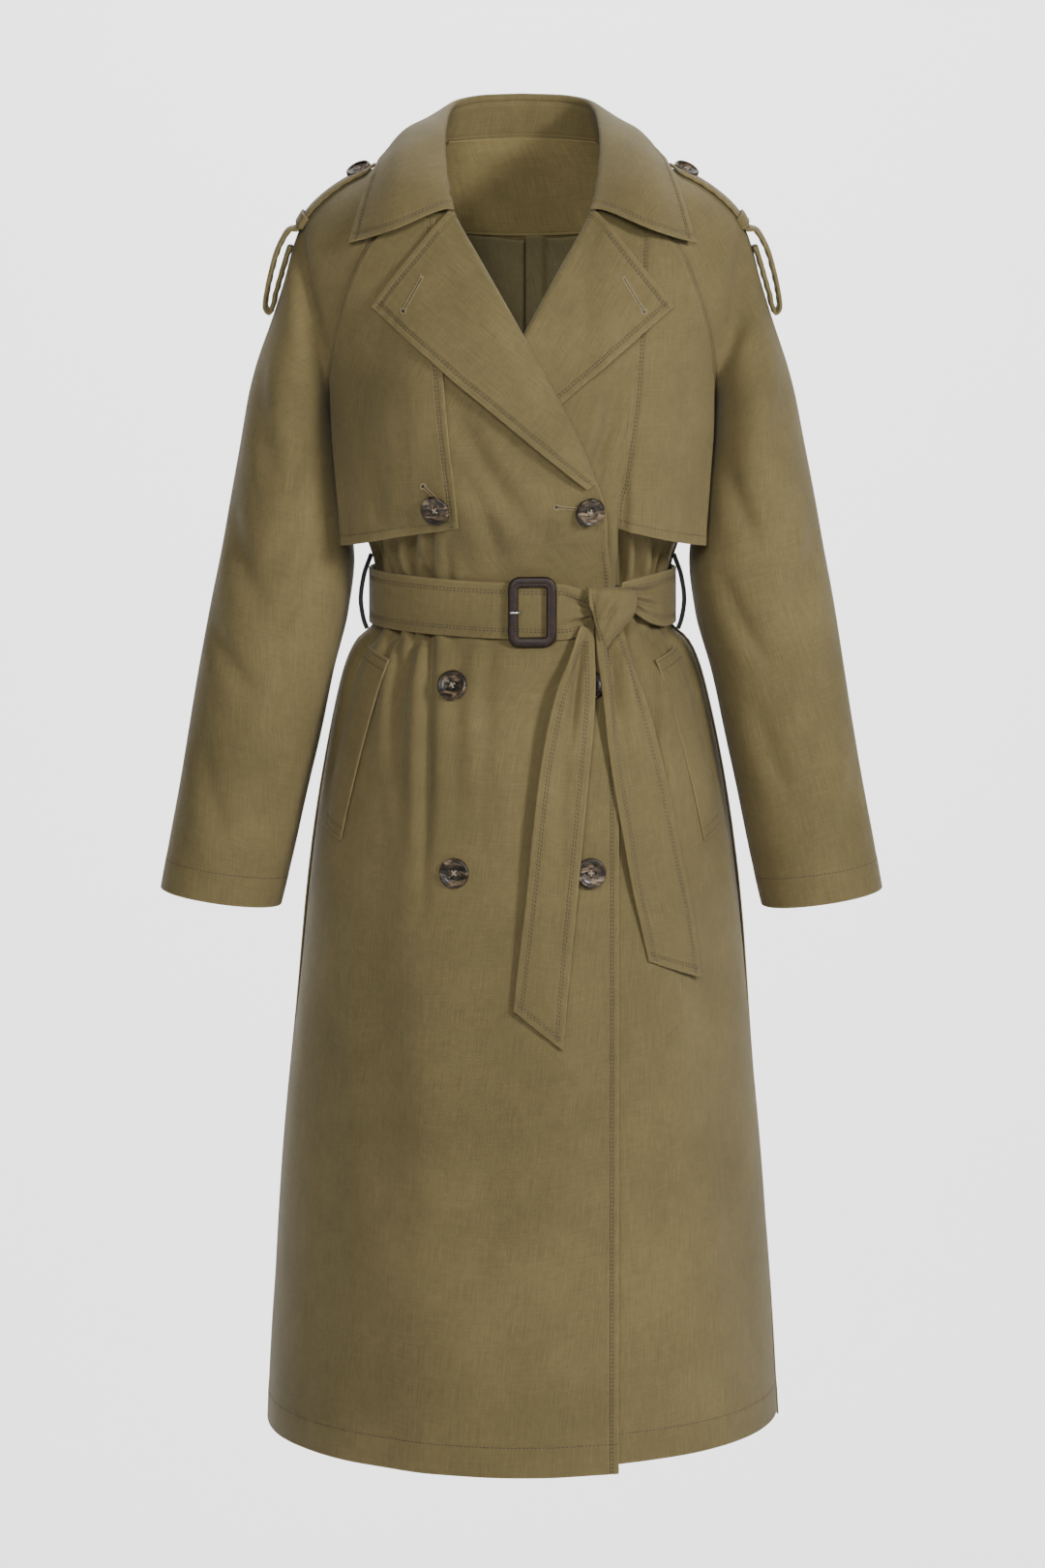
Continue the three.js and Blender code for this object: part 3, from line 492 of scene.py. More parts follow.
# The waves of uneven cloth: their sizes, and the distance along each axis that turns them by one radian
FLAT = math.inf
WAVES = table("size x y z", [
    [1, 31, FLAT, 190],
    [0.7, 19, 40, -120],
    [0.6, 47, 33, 77],
    [0.4, 60, FLAT, 41],
    [0.25, 9.5, FLAT, 52],
    [0.2, FLAT, 12, 61],
])


def soft_waves(points, size, seed):
    """Broad shallow unevenness of hanging cloth."""
    x, y, z = points[..., 0], points[..., 1], points[..., 2]
    phases = np.random.default_rng(seed).uniform(0, 2 * math.pi, len(WAVES["size"]))
    total = 0.0
    for wave, phase in zip(rows_of(WAVES), phases):
        total = total + wave["size"] * np.sin(x / wave["x"] + y / wave["y"] + z / wave["z"] + phase)
    return size * total / 2


# Meshes
def mesh_object(name, points, faces, material, uv=None, edge=None):
    mesh = bpy.data.meshes.new(name)
    mesh.from_pydata((np.asarray(points) * MM).tolist(), [], faces)
    mesh.polygons.foreach_set("use_smooth", np.ones(len(mesh.polygons), bool))
    if uv is not None:
        layer = mesh.uv_layers.new(name="UVMap")
        corner = np.empty(len(mesh.loops), np.int32)
        mesh.loops.foreach_get("vertex_index", corner)
        layer.data.foreach_set("uv", (uv[corner] * MM).astype(np.float32).ravel())
    if edge is not None:
        attribute = mesh.attributes.new("edge", "FLOAT", "POINT")
        attribute.data.foreach_set("value", edge.astype(np.float32))
    mesh.materials.append(material)
    mesh.update()
    obj = bpy.data.objects.new(name, mesh)
    bpy.context.scene.collection.objects.link(obj)
    return obj


def quads(a, b, c, d):
    return np.stack([a, b, c, d], -1).reshape(-1, 4).tolist()


# Steps of the rounded rim from the outer face to the inner one, in degrees
RIM_ANGLES = (45, 90, 135)


def shell(name, points, thickness, material):
    """Cloth wall from the grid of its outer face, with a rounded edge."""
    rows, columns = points.shape[:2]
    normals = normals_of(points)
    inner = points - normals * thickness
    index = np.arange(rows * columns).reshape(rows, columns)
    border = np.concatenate([index[0, :-1], index[:-1, -1], index[-1, :0:-1], index[:0:-1, 0]])

    outward = np.zeros_like(points)
    outward[0] += unit(points[0] - points[1])
    outward[-1] += unit(points[-1] - points[-2])
    outward[:, 0] += unit(points[:, 0] - points[:, 1])
    outward[:, -1] += unit(points[:, -1] - points[:, -2])
    outward -= scaled(normals, dot(outward, normals))
    flat_points, flat_normals = points.reshape(-1, 3)[border], normals.reshape(-1, 3)[border]
    flat_outward = unit(outward.reshape(-1, 3)[border])

    rings = []
    for degrees in RIM_ANGLES:
        rise, reach = math.cos(math.radians(degrees)), math.sin(math.radians(degrees))
        rings.append(flat_points + (flat_normals * (rise - 1) + flat_outward * reach) * thickness / 2)
    count = rows * columns
    vertices = np.concatenate([points.reshape(-1, 3), inner.reshape(-1, 3), *rings])

    faces = quads(index[:-1, :-1], index[1:, :-1], index[1:, 1:], index[:-1, 1:])
    inside = index + count
    faces += quads(inside[:-1, :-1], inside[:-1, 1:], inside[1:, 1:], inside[1:, :-1])
    lines = [border]
    lines += [2 * count + k * len(border) + np.arange(len(border)) for k in range(len(RIM_ANGLES))]
    lines += [border + count]
    for one, two in zip(lines, lines[1:]):
        faces += quads(one, np.roll(one, -1), np.roll(two, -1), two)

    distance = edge_distances(points)
    uv = np.stack([distance["left"], -distance["top"]], -1).reshape(-1, 2)
    uv = np.concatenate([uv, uv, *[uv[border]] * len(RIM_ANGLES)])
    # Distance from the nearest edge, which the cloth materials use for a painted rim highlight
    edge = np.minimum.reduce(list(distance.values())).ravel()
    edge = np.concatenate([edge, edge, *[edge[border]] * len(RIM_ANGLES)])
    return mesh_object(name, vertices, faces, material, uv, edge)


# A stitch is a low bar with sunk ends; its section in shares of half its width and of its height
STITCH_SECTION = ((-1, 0.0), (-0.55, 0.8), (0.55, 0.8), (1, 0.0))
STITCH_SINK = 0.15


class Thread:
    """Collects the stitches of one piece and joins them as one mesh."""

    def __init__(self, name, material):
        self.name, self.material = name, material
        self.points, self.faces, self.count = [], [], 0

    def line(self, path, normals, pitch=STITCH_PITCH, size=STITCH):
        """Evenly spaced stitches along a path on the cloth."""
        steps = np.linalg.norm(np.diff(path, axis=0), axis=-1)
        at = np.concatenate([[0], np.cumsum(steps)])
        number = int(at[-1] / pitch)
        if number < 1:
            return
        centre_at = (np.arange(number) + 0.5) * at[-1] / number

        def sample(values, where):
            return np.stack([np.interp(where, at, values[:, axis]) for axis in range(3)], -1)

        half = size["length"] / 2
        ahead, behind = sample(path, centre_at + half), sample(path, centre_at - half)
        up = unit(sample(normals, centre_at))
        forward = unit(ahead - behind)
        side = unit(np.cross(forward, up))
        middle = (ahead + behind) / 2
        rings = [behind - up * STITCH_SINK]
        for share in (-0.5, 0.5):
            base = middle + forward * half * share
            for across, rise in STITCH_SECTION:
                rings.append(base + side * across * size["width"] / 2 + up * rise * size["height"])
        rings.append(ahead - up * STITCH_SINK)
        block = np.stack(rings, 1)
        pattern = [(0, 2, 1), (0, 3, 2), (0, 4, 3), (9, 5, 6), (9, 6, 7), (9, 7, 8)]
        pattern += [(1, 2, 6, 5), (2, 3, 7, 6), (3, 4, 8, 7)]
        for k in range(number):
            base = self.count + 10 * k
            self.faces += [tuple(base + v for v in face) for face in pattern]
        self.points.append(block.reshape(-1, 3))
        self.count += 10 * number

    def edge(self, points, side, distance, start=0.0, stop=1.0):
        """A row of stitches at a distance from one edge of a grid."""
        normals = normals_of(points)
        if side in ("top", "bottom"):
            points, normals = turned(points), turned(normals)
        if side in ("right", "bottom"):
            points, normals = points[:, ::-1], normals[:, ::-1]
        length = along_rows(points)
        low, high = int(start * (len(points) - 1)), int(round(stop * (len(points) - 1))) + 1
        path, up = [], []
        for row, normal, at in zip(points[low:high], normals[low:high], length[low:high]):
            path.append([np.interp(distance, at, row[:, axis]) for axis in range(3)])
            up.append([np.interp(distance, at, normal[:, axis]) for axis in range(3)])
        self.line(np.array(path), np.array(up))

    def finish(self, parent):
        if not self.points:
            return None
        obj = mesh_object(self.name, np.concatenate(self.points), self.faces, self.material)
        obj.parent = parent
        return obj


# Materials
def new_material(name):
    material = bpy.data.materials.new(name)
    material.use_nodes = True
    tree = material.node_tree
    return material, tree, tree.nodes["Principled BSDF"]


def add(tree, kind, values=None, **settings):
    node = tree.nodes.new("ShaderNode" + kind)
    for name, value in settings.items():
        setattr(node, name, value)
    for name, value in (values or {}).items():
        node.inputs[name].default_value = value
    return node


def set_sockets(shader, values):
    for name, value in values.items():
        shader.inputs[name].default_value = value


def join(tree, *links):
    """Links given as source node, its output, target node and its input."""
    for source, output, target, socket in links:
        tree.links.new(source.outputs[output], target.inputs[socket])


def ramp(tree, stops):
    node = add(tree, "ValToRGB")
    elements = node.color_ramp.elements
    while len(elements) < len(stops):
        elements.new(0.5)
    for element, (at, color) in zip(elements, stops):
        element.position = at
        element.color = (*color, 1)
    return node


def mapped(tree, source, output, scale, degrees=0.0):
    node = add(tree, "Mapping", {"Scale": scale, "Rotation": (0, 0, math.radians(degrees))})
    join(tree, (source, output, node, "Vector"))
    return node


# The part of a noise texture's range that its values mostly lie in
NOISE_SPAN = {"From Min": 0.3, "From Max": 0.7}


def multiplied(tree, color, factor_low, factor_high, source, output, span=NOISE_SPAN):
    """A colour darkened and lightened by a texture or another value."""
    shade = add(tree, "MapRange", {**span, "To Min": factor_low, "To Max": factor_high})
    mix = add(tree, "Mix", {"Factor": 1.0}, data_type="RGBA", blend_type="MULTIPLY")
    grey = add(tree, "CombineColor")
    join(tree, (source, output, shade, "Value"))
    for channel in ("Red", "Green", "Blue"):
        join(tree, (shade, "Result", grey, channel))
    tree.links.new(color, mix.inputs["A"])
    tree.links.new(grey.outputs["Color"], mix.inputs["B"])
    return mix.outputs["Result"]


SLUB = 0.12
# Reach in millimetres of the painted highlight that lightens the cloth towards its edges
RIM_HIGHLIGHT_REACH = 1.6
TWILL_ANGLE = 27


def twill_material(name, shades, pitch, bump, roughness, sheen, rim_highlight_gain):
    """Woven twill: diagonal ribs, uneven yarns, slow colour variation, and a painted highlight that makes
    the cloth paler near its edges.
    """
    material, tree, shader = new_material(name)
    uv = add(tree, "UVMap", uv_map="UVMap")
    place = add(tree, "TexCoord")
    cloudy = add(tree, "TexNoise", {"Scale": 9.0, "Detail": 3.0, "Roughness": 0.6})
    tone = ramp(tree, shades)
    yarns = mapped(tree, uv, "UV", (1300, 34, 1))
    warp = add(tree, "TexNoise", {"Scale": 1.0, "Detail": 2.0})
    picks = mapped(tree, uv, "UV", (26, 1100, 1))
    weft = add(tree, "TexNoise", {"Scale": 1.0, "Detail": 2.0})
    diagonal = mapped(tree, uv, "UV", (1, 1, 1), TWILL_ANGLE)
    rib = add(tree, "TexWave", {"Scale": 0.314 / (pitch * MM), "Distortion": 0.4, "Detail": 1.0})
    join(
        tree,
        (place, "Object", cloudy, "Vector"),
        (cloudy, "Fac", tone, "Fac"),
        (yarns, "Vector", warp, "Vector"),
        (picks, "Vector", weft, "Vector"),
        (diagonal, "Vector", rib, "Vector"),
    )
    color = multiplied(tree, tone.outputs["Color"], 1 - SLUB, 1 + SLUB, warp, "Fac")
    color = multiplied(tree, color, 1 - SLUB / 2, 1 + SLUB / 2, weft, "Fac")
    heather = add(tree, "TexNoise", {"Scale": 170.0, "Detail": 3.0, "Roughness": 0.7})
    join(tree, (place, "Object", heather, "Vector"))
    color = multiplied(tree, color, 0.93, 1.07, heather, "Fac")
    color = multiplied(tree, color, 0.93, 1.05, rib, "Fac")
    # Painted highlight: the colour is lightened within a short reach of each edge, standing in for the light
    # the rims catch
    edge = add(tree, "Attribute", attribute_name="edge")
    color = multiplied(tree, color, rim_highlight_gain, 1.0, edge, "Fac", {"From Max": RIM_HIGHLIGHT_REACH})
    tree.links.new(color, shader.inputs["Base Color"])

    matte = add(tree, "MapRange", {"To Min": roughness - 0.06, "To Max": roughness + 0.06})
    weave = add(tree, "Bump", {"Strength": bump, "Distance": 0.00025})
    yarn = add(tree, "Bump", {"Strength": bump * 0.8, "Distance": 0.0003})
    join(
        tree,
        (warp, "Fac", matte, "Value"),
        (matte, "Result", shader, "Roughness"),
        (rib, "Fac", weave, "Height"),
        (warp, "Fac", yarn, "Height"),
        (yarn, "Normal", weave, "Normal"),
        (weave, "Normal", shader, "Normal"),
    )
    set_sockets(shader, {"Sheen Weight": sheen, "Sheen Roughness": 0.45, "Specular IOR Level": 0.25})
    return material


def noise_material(name, noise, shades, stretch=None, degrees=0.0, gloss=None, bump=None, sockets=None):
    """A material whose colour, and gloss and fine relief if given, follow one noise."""
    material, tree, shader = new_material(name)
    source, output = add(tree, "TexCoord"), "Object"
    if stretch:
        source, output = mapped(tree, source, output, stretch, degrees), "Vector"
    texture = add(tree, "TexNoise", noise)
    tone = ramp(tree, shades)
    join(
        tree,
        (source, output, texture, "Vector"),
        (texture, "Fac", tone, "Fac"),
        (tone, "Color", shader, "Base Color"),
    )
    if gloss:
        shine = add(tree, "MapRange", {"To Min": gloss[0], "To Max": gloss[1]})
        join(tree, (texture, "Fac", shine, "Value"), (shine, "Result", shader, "Roughness"))
    if bump:
        grain = add(tree, "Bump", {"Strength": bump[0], "Distance": bump[1]})
        join(tree, (texture, "Fac", grain, "Height"), (grain, "Normal", shader, "Normal"))
    set_sockets(shader, sockets or {})
    return material


def thread_material(name, dark, light):
    noise = {"Scale": 900.0, "Detail": 1.0}
    shades = [(0.3, dark), (0.7, light)]
    return noise_material(name, noise, shades, bump=(0.4, 0.0001), sockets={"Roughness": 0.6})


def horn_material(name, specular, coat):
    """Polished buffalo horn: dark, with paler cloudy streaks under a clear gloss."""
    shades = [
        (0.4, (0.008, 0.006, 0.003)),
        (0.5, (0.024, 0.016, 0.009)),
        (0.58, (0.075, 0.05, 0.028)),
        (0.67, (0.22, 0.16, 0.1)),
    ]
    return noise_material(
        name,
        {"Scale": 1.0, "Detail": 4.0, "Roughness": 0.58, "Distortion": 0.9},
        shades,
        stretch=(75, 75, 190),
        degrees=30,
        gloss=(0.3, 0.5),
        bump=(0.12, 0.0003),
        sockets={"Specular IOR Level": specular, "Coat Weight": coat, "Coat Roughness": 0.15},
    )


def leather_material():
    """Dark brown grained leather, cloudy in colour and gloss."""
    shades = [(0.3, (0.009, 0.004, 0.003)), (0.55, (0.018, 0.008, 0.005)), (0.8, (0.034, 0.016, 0.01))]
    noise = {"Scale": 260.0, "Detail": 4.0}
    sockets = {"Specular IOR Level": 0.35}
    material = noise_material("leather", noise, shades, gloss=(0.4, 0.62), sockets=sockets)
    tree = material.node_tree
    grain = add(tree, "TexVoronoi", {"Scale": 1500.0})
    bump = add(tree, "Bump", {"Strength": 0.35, "Distance": 0.0002})
    join(
        tree,
        (add(tree, "TexCoord"), "Object", grain, "Vector"),
        (grain, "Distance", bump, "Height"),
        (bump, "Normal", tree.nodes["Principled BSDF"], "Normal"),
    )
    return material


def steel_material():
    """Steel brushed along its length."""
    noise = {"Scale": 1.0, "Detail": 2.0}
    shades = [(0.3, (0.5, 0.5, 0.5)), (0.7, (0.72, 0.72, 0.71))]
    stretch = (300, 4000, 4000)
    return noise_material("steel", noise, shades, stretch, gloss=(0.16, 0.34), sockets={"Metallic": 1.0})


OLIVE = [
    (0.3, (0.114, 0.089, 0.035)),
    (0.5, (0.134, 0.104, 0.042)),
    (0.7, (0.157, 0.122, 0.050)),
]
# The same olive made 1.6 times paler: painted light for the back neck facing, which sits in the coat's shade
PAINTED_LIGHT_OLIVE = [(at, tuple(1.6 * part for part in color)) for at, color in OLIVE]
DARK_OLIVE = [
    (0.3, (0.118, 0.098, 0.046)),
    (0.7, (0.162, 0.134, 0.063)),
]
# The last number of each twill is the gain of its painted rim highlight
gabardine = twill_material("gabardine", OLIVE, 0.9, 0.45, 0.8, 0.07, 1.14)
belt_cloth = twill_material("gabardine_belt", OLIVE, 0.9, 0.5, 0.8, 0.07, 1.12)
inside_cloth_painted_light = twill_material("gabardine_inside_painted_light", PAINTED_LIGHT_OLIVE, 0.9, 0.4, 0.85, 0.05, 1.05)
lining = twill_material("lining", DARK_OLIVE, 1.1, 0.25, 0.62, 0.05, 1.05)
seam_thread = thread_material("seam_thread", (0.03, 0.021, 0.01), (0.058, 0.042, 0.02))
pale_thread = thread_material("buttonhole_thread", (0.2, 0.158, 0.078), (0.3, 0.24, 0.12))
button_thread = thread_material("button_thread", (0.2, 0.16, 0.11), (0.34, 0.28, 0.21))
leather_thread = thread_material("leather_thread", (0.035, 0.02, 0.012), (0.085, 0.05, 0.032))
# Near-black for the buttonhole slits: painted shade for the opening of each slit
slit_painted_shade = thread_material("buttonhole_painted_shade", (0.012, 0.009, 0.005), (0.03, 0.022, 0.012))
cord_black = thread_material("cord", (0.006, 0.0055, 0.005), (0.018, 0.016, 0.014))
horn = horn_material("horn", 0.3, 0.15)
strap_horn = horn_material("horn_strap", 0.08, 0.0)
leather = leather_material()
steel = steel_material()


def cloth(name, points, thickness, material, held, thread=None):
    """Builds a cloth piece in place of its CAD node and adds its stitching; its flat size and area are
    worked out but not kept.
    """
    piece = shell(name + "_cloth", points, thickness, material)
    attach(piece, "root")
    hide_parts(name)
    across = along_rows(points)[:, -1]
    down = along_rows(turned(points))[:, -1]
    area = surface_area(points)
    width, length = across.max() * MM, down.max() * MM
    share = area * MM * MM / (width * length)
    ({
        "piece": piece,
        "flat": (round(width, 3), round(length, 3)),
        "area": None if share > 0.97 else round(area * MM * MM, 5),
        "held": held,
        "thread": thread.finish(piece) if thread else None,
    })
    return piece


def surface_area(points):
    one = points[1:, 1:] - points[:-1, :-1]
    two = points[1:, :-1] - points[:-1, 1:]
    return float(np.linalg.norm(np.cross(one, two), axis=-1).sum() / 2)


def threads(name):
    return Thread(name + "_stitching", seam_thread)


# Fronts
FRONT_CREASES = {
    "right": crease_table([
        [-57, -214, 20, -330, 7, 4.2, 10],
        [-54, -262, -16, -360, -5, 3.4, 8],
        [-22, -236, 44, -300, 4, 1.6, 9],
        [28, -300, 12, -362, 3, 1.4, 8],
        [-121, -318, -120, -412, 0, 5.0, 3.6],
        [-107, -312, -106, -424, 0, 5.5, 3.4],
        [-92, -298, -91, -440, 0, 8.5, 3.8],
        [-76, -296, -78, -446, 1, 8.5, 3.6],
        [-62, -326, -62, -420, -1, 2.6, 3.6],
        [-80, -352, -84, -640, -2, 6.0, 6.5],
        [-98, -356, -110, -530, 2, 5.0, 5.5],
        [-60, -366, -57, -570, -4, 2.6, 8],
        [-24, -376, -30, -550, 3, 2.2, 8],
        [-118, -560, -124, -860, 5, 2.4, 20],
        [-40, -640, -36, -1040, -6, 2.2, 26],
        [24, -420, 16, -640, 4, 1.6, 14],
        [-160, -640, -176, -1080, -5, 2.8, 24],
        [56, -540, 62, -940, 3, 1.2, 14],
    ]),
    "left": crease_table([
        [81, -194, 54, -284, -3, 6.0, 6],
        [100, -206, 84, -300, -4, 1.6, 8],
        [84, -300, 82, -430, 0, 8.5, 3.8],
        [98, -316, 97, -420, 0, 5.0, 3.4],
        [114, -312, 113, -424, 1, 7.0, 3.8],
        [110, -372, 120, -580, 4, 4.2, 6],
        [120, -372, 144, -520, 3, 4.4, 5],
        [146, -600, 158, -930, -6, 2.6, 22],
        [112, -660, 118, -1060, 5, 2.0, 24],
        [96, -410, 98, -540, -2, 2.4, 6],
        [178, -760, 186, -1090, 4, 2.4, 20],
    ]),
}


def panel_heights(top):
    """Heights of a panel's rows, from its top past the underarm to the hem."""
    yoke = np.linspace(top, UNDERARM_Z, GRID["yoke"])
    skirt = np.linspace(UNDERARM_Z, HEM_Z, GRID["skirt"])
    return np.concatenate([yoke, skirt[1:]])[:, None]


def front_grid(side, lift, hem):
    z = panel_heights(FRONT_TOP_Z)
    s = np.linspace(0, 1, GRID["front"])[None, :]
    angle = np.where(z > UNDERARM_Z, front_seam_angle(z), 90)
    edge_z = np.where(z <= BREAK_Z, z, lerp(BREAK_Z, GORGE_Z, (z - BREAK_Z) / (FRONT_TOP_Z - BREAK_Z)))
    edge_angle = angle_at(front_edge(edge_z), edge_z)
    height = np.maximum(lerp(z, edge_z, s), hem)
    degrees = side * lerp(angle, -edge_angle, s)
    x = on_section(body, height, degrees)[..., 0]
    points = cloth_point(height, degrees, lift(x, height))
    return points if side < 0 else points[:, ::-1]


def drop_repeats(points):
    """Leaves out rows that lie on the one before."""
    moved = np.linalg.norm(np.diff(points, axis=0), axis=-1).max(axis=1) > 0.5
    return points[np.concatenate([[True], moved])]


def build_front(name, side, lift, hem, seed):
    edge = "right" if side < 0 else "left"
    seam = "left" if side < 0 else "right"
    points = drop_repeats(front_grid(side, lift, hem))
    bands = {edge: STITCHED_EDGE, seam: PLAIN_EDGE}
    points = spaced(points, bands["left"], bands["right"], PLAIN_EDGE, HEMMED_EDGE, 2.8, 6)
    points = creased(points, FRONT_CREASES["right" if side < 0 else "left"])
    distance = edge_distances(points)
    calm = smoothstep(distance[edge], 0, 30) * smoothstep(-points[..., 2], 250, 420)
    out = soft_waves(points, 1.5, seed) * calm
    out = out + relief(distance[edge], (EDGE_ROW, SECOND_ROW)) + puckers(distance[edge], distance["top"])
    out = out + hemmed(distance) + hem_puckers(distance)
    points = pushed(points, out)
    thread = threads(name)
    for row in (EDGE_ROW, SECOND_ROW):
        thread.edge(points, edge, row, start=0.3)
    thread.edge(points, "bottom", HEM_ROW)
    cloth(name, points, CLOTH, gabardine, "hung", thread=thread)


build_front("front_right", -1, lap_lift, HEM_Z, 11)
build_front("front_left", 1, no_lift, LEFT_HEM_Z, 12)


# Back
BACK_CREASES = crease_table([
    [-70, -160, -30, -330, 8, 1.8, 14],
    [64, -180, 36, -338, -6, 1.6, 13],
    [-112, -240, -92, -340, 4, 1.6, 10],
    [108, -230, 96, -336, -3, 1.8, 11],
    [-6, -236, 4, -344, 4, 1.1, 12],
    [-60, -430, -78, -820, -6, 3.2, 20],
    [52, -430, 64, -760, 5, 2.8, 19],
    [4, -440, -4, -900, 6, 2.0, 24],
    [-130, -520, -150, -1060, 6, 2.6, 24],
    [132, -560, 148, -1040, -7, 2.4, 26],
    [98, -760, 108, -1090, 4, 1.8, 18],
    [-96, -820, -104, -1098, -3, 1.9, 18],
])


def build_back():
    z = panel_heights(BACK_TOP_Z)
    s = np.linspace(0, 1, GRID["back"])[None, :]
    angle = np.where(z > UNDERARM_Z, back_seam_angle(z), 90)
    neck_rise = -BACK_TOP_Z * np.sin(np.pi * s) * (1 - smoothstep(-z, -BACK_TOP_Z, 25))
    points = cloth_point(z + neck_rise, lerp(angle, 360 - angle, s))
    points = spaced(points, PLAIN_EDGE, PLAIN_EDGE, PLAIN_EDGE, HEMMED_EDGE, 4, 7)
    points = creased(points, BACK_CREASES, facing=1)
    distance = edge_distances(points)
    calm = smoothstep(-points[..., 2], 60, 200)
    out = soft_waves(points, 1.8, 13) * calm + hemmed(distance) + hem_puckers(distance)
    points = pushed(points, out)
    thread = threads("back")
    thread.edge(points, "bottom", HEM_ROW)
    cloth("back", points, CLOTH, gabardine, "hung", thread=thread)


build_back()

# Left sleeve sections from the neck to the cuff
SLEEVE = table("row top_x top_y top_z under_x under_z pull turn front back", [
    [0, 74, 8, -5, 160, -235, 47, 0, 77, 73],
    [1, 100, 8, -15, 160, -235, 65, 0, 77, 73],
    [2, 125, 8.5, -25, 160, -235, 85, 0, 77, 73],
    [3, 148, 9, -36, 160, -235, 107, 0, 77, 73],
    [4, 168, 9, -50, 160, -235, 115, 0, 77, 73],
    [5, 183.5, 9, -67, 160, -235, 125, 0.05, 77, 73],
    [6, 193.5, 9, -90, 160, -235, 135, 0.15, 77, 73],
    [7, 201, 9, -118, 160, -235, 150, 0.35, 77, 73],
    [8, 212, 9, -152, 160, -235, 200, 0.65, 77, 73],
    [9, 225.5, 9, -190, 160, -235, 270, 0.9, 77, 73],
    [10, 232.5, 9.5, -215, 160, -235, 300, 1, 77, 73],
    [11, 241, 10, -258, 156, -272, 300, 1, 75, 73],
    [12, 249, 10, -300, 149.5, -314, 300, 1, 70, 70],
    [13, 257, 8, -345, 143.5, -357, 300, 1, 66, 66],
    [14, 266, 4, -391, 148, -399, 300, 1, 62, 62],
    [15, 274.6, 0, -440, 162, -452, 300, 1, 58, 58],
    [16, 283, -5, -490, 173, -503, 300, 1, 55, 55],
    [17, 291.7, -10, -540, 184.5, -553, 300, 1, 52, 52],
    [18, 300.7, -14, -590, 195.5, -604, 300, 1, 49, 49],
    [19, 308, -18, -634, 206, -649, 300, 1, 47, 47],
])
CUFF_ROW = 19
UNDERARM_GAP = 0.4
SLEEVE_STITCHED = 0.36
sleeve = curves(SLEEVE, "row")


def sleeve_point(row, round_):
    """Point of the left sleeve: from the front seam (0) over the ridge (0.5) to the back seam (1)."""
    row, round_ = np.broadcast_arrays(np.asarray(row, float), np.asarray(round_, float))
    ridge = point(sleeve["top_x"](row), sleeve["top_y"](row), sleeve["top_z"](row))
    front = round_ < 0.5
    side = np.where(front, -1.0, 1.0)
    t = np.where(front, round_ * 2, 2 - round_ * 2)[..., None]

    z = np.where(front, raglan["front_z"](row), raglan["back_z"](row))
    degrees = np.where(front, raglan["front_angle"](row), raglan["back_angle"](row))
    seam = on_section(body, z, degrees)
    normal = section_normal(body, z, degrees)
    chord = ridge - seam
    flat = unit(chord - scaled(normal, dot(chord, normal)))
    turn, pull = sleeve["turn"](row), sleeve["pull"](row)
    leave = scaled(unit(scaled(flat, 1 - turn) + point(0, side * turn, 0)), pull)
    upper = hermite(t, seam, leave, ridge, point(0, -side * pull, 0))

    settle = smoothstep(row, UNDERARM_ROW, UNDERARM_ROW + 0.8)
    bulge = np.where(front, sleeve["front"](row), sleeve["back"](row))
    depth = lerp(sleeve["pull"](UNDERARM_ROW), 4 * bulge, settle)
    under_y = lerp(SIDE_Y, sleeve["top_y"](row), settle) + side * UNDERARM_GAP / 2
    under = point(sleeve["under_x"](row), under_y, sleeve["under_z"](row))
    lower = hermite(t, under, point(0, side * depth, 0), ridge, point(0, -side * depth, 0))
    return np.where((row < UNDERARM_ROW)[..., None], upper, lower)


SLEEVE_CREASES = {
    "right": crease_table([
        [-190, -60, -165, -182, 4, 6.5, 6],
        [-228, -150, -200, -300, 6, 4.0, 10],
        [-174, -246, -206, -352, -5, 4.2, 8],
        [-250, -296, -218, -396, 5, 4.0, 9],
        [-168, -340, -216, -424, -3, 4.0, 7],
        [-266, -398, -222, -470, 4, 3.4, 8],
        [-190, -436, -228, -520, -4, 2.8, 7],
        [-274, -490, -244, -610, 4, 2.4, 9],
        [-210, -520, -232, -600, 2, 1.8, 8],
    ]),
    "left": crease_table([
        [186, -76, 169, -176, -3, 4.2, 7],
        [230, -166, 204, -276, -5, 3.4, 10],
        [170, -256, 202, -344, 5, 3.8, 8],
        [254, -316, 222, -408, -4, 3.6, 8],
        [166, -356, 210, -444, 4, 3.6, 7],
        [270, -424, 232, -502, -4, 3.0, 8],
        [196, -470, 230, -560, 3, 2.4, 8],
        [288, -510, 260, -622, -3, 2.2, 9],
    ]),
}
SLEEVE_BACK_CREASES = crease_table([
    [188, -90, 172, -196, -4, 3.2, 10],
    [230, -180, 202, -300, -4, 3.0, 12],
    [240, -290, 196, -372, 6, 3.4, 10],
    [254, -350, 206, -410, 5, 3.0, 9],
    [262, -420, 224, -486, 4, 2.4, 10],
    [276, -500, 248, -600, -4, 1.8, 11],
])


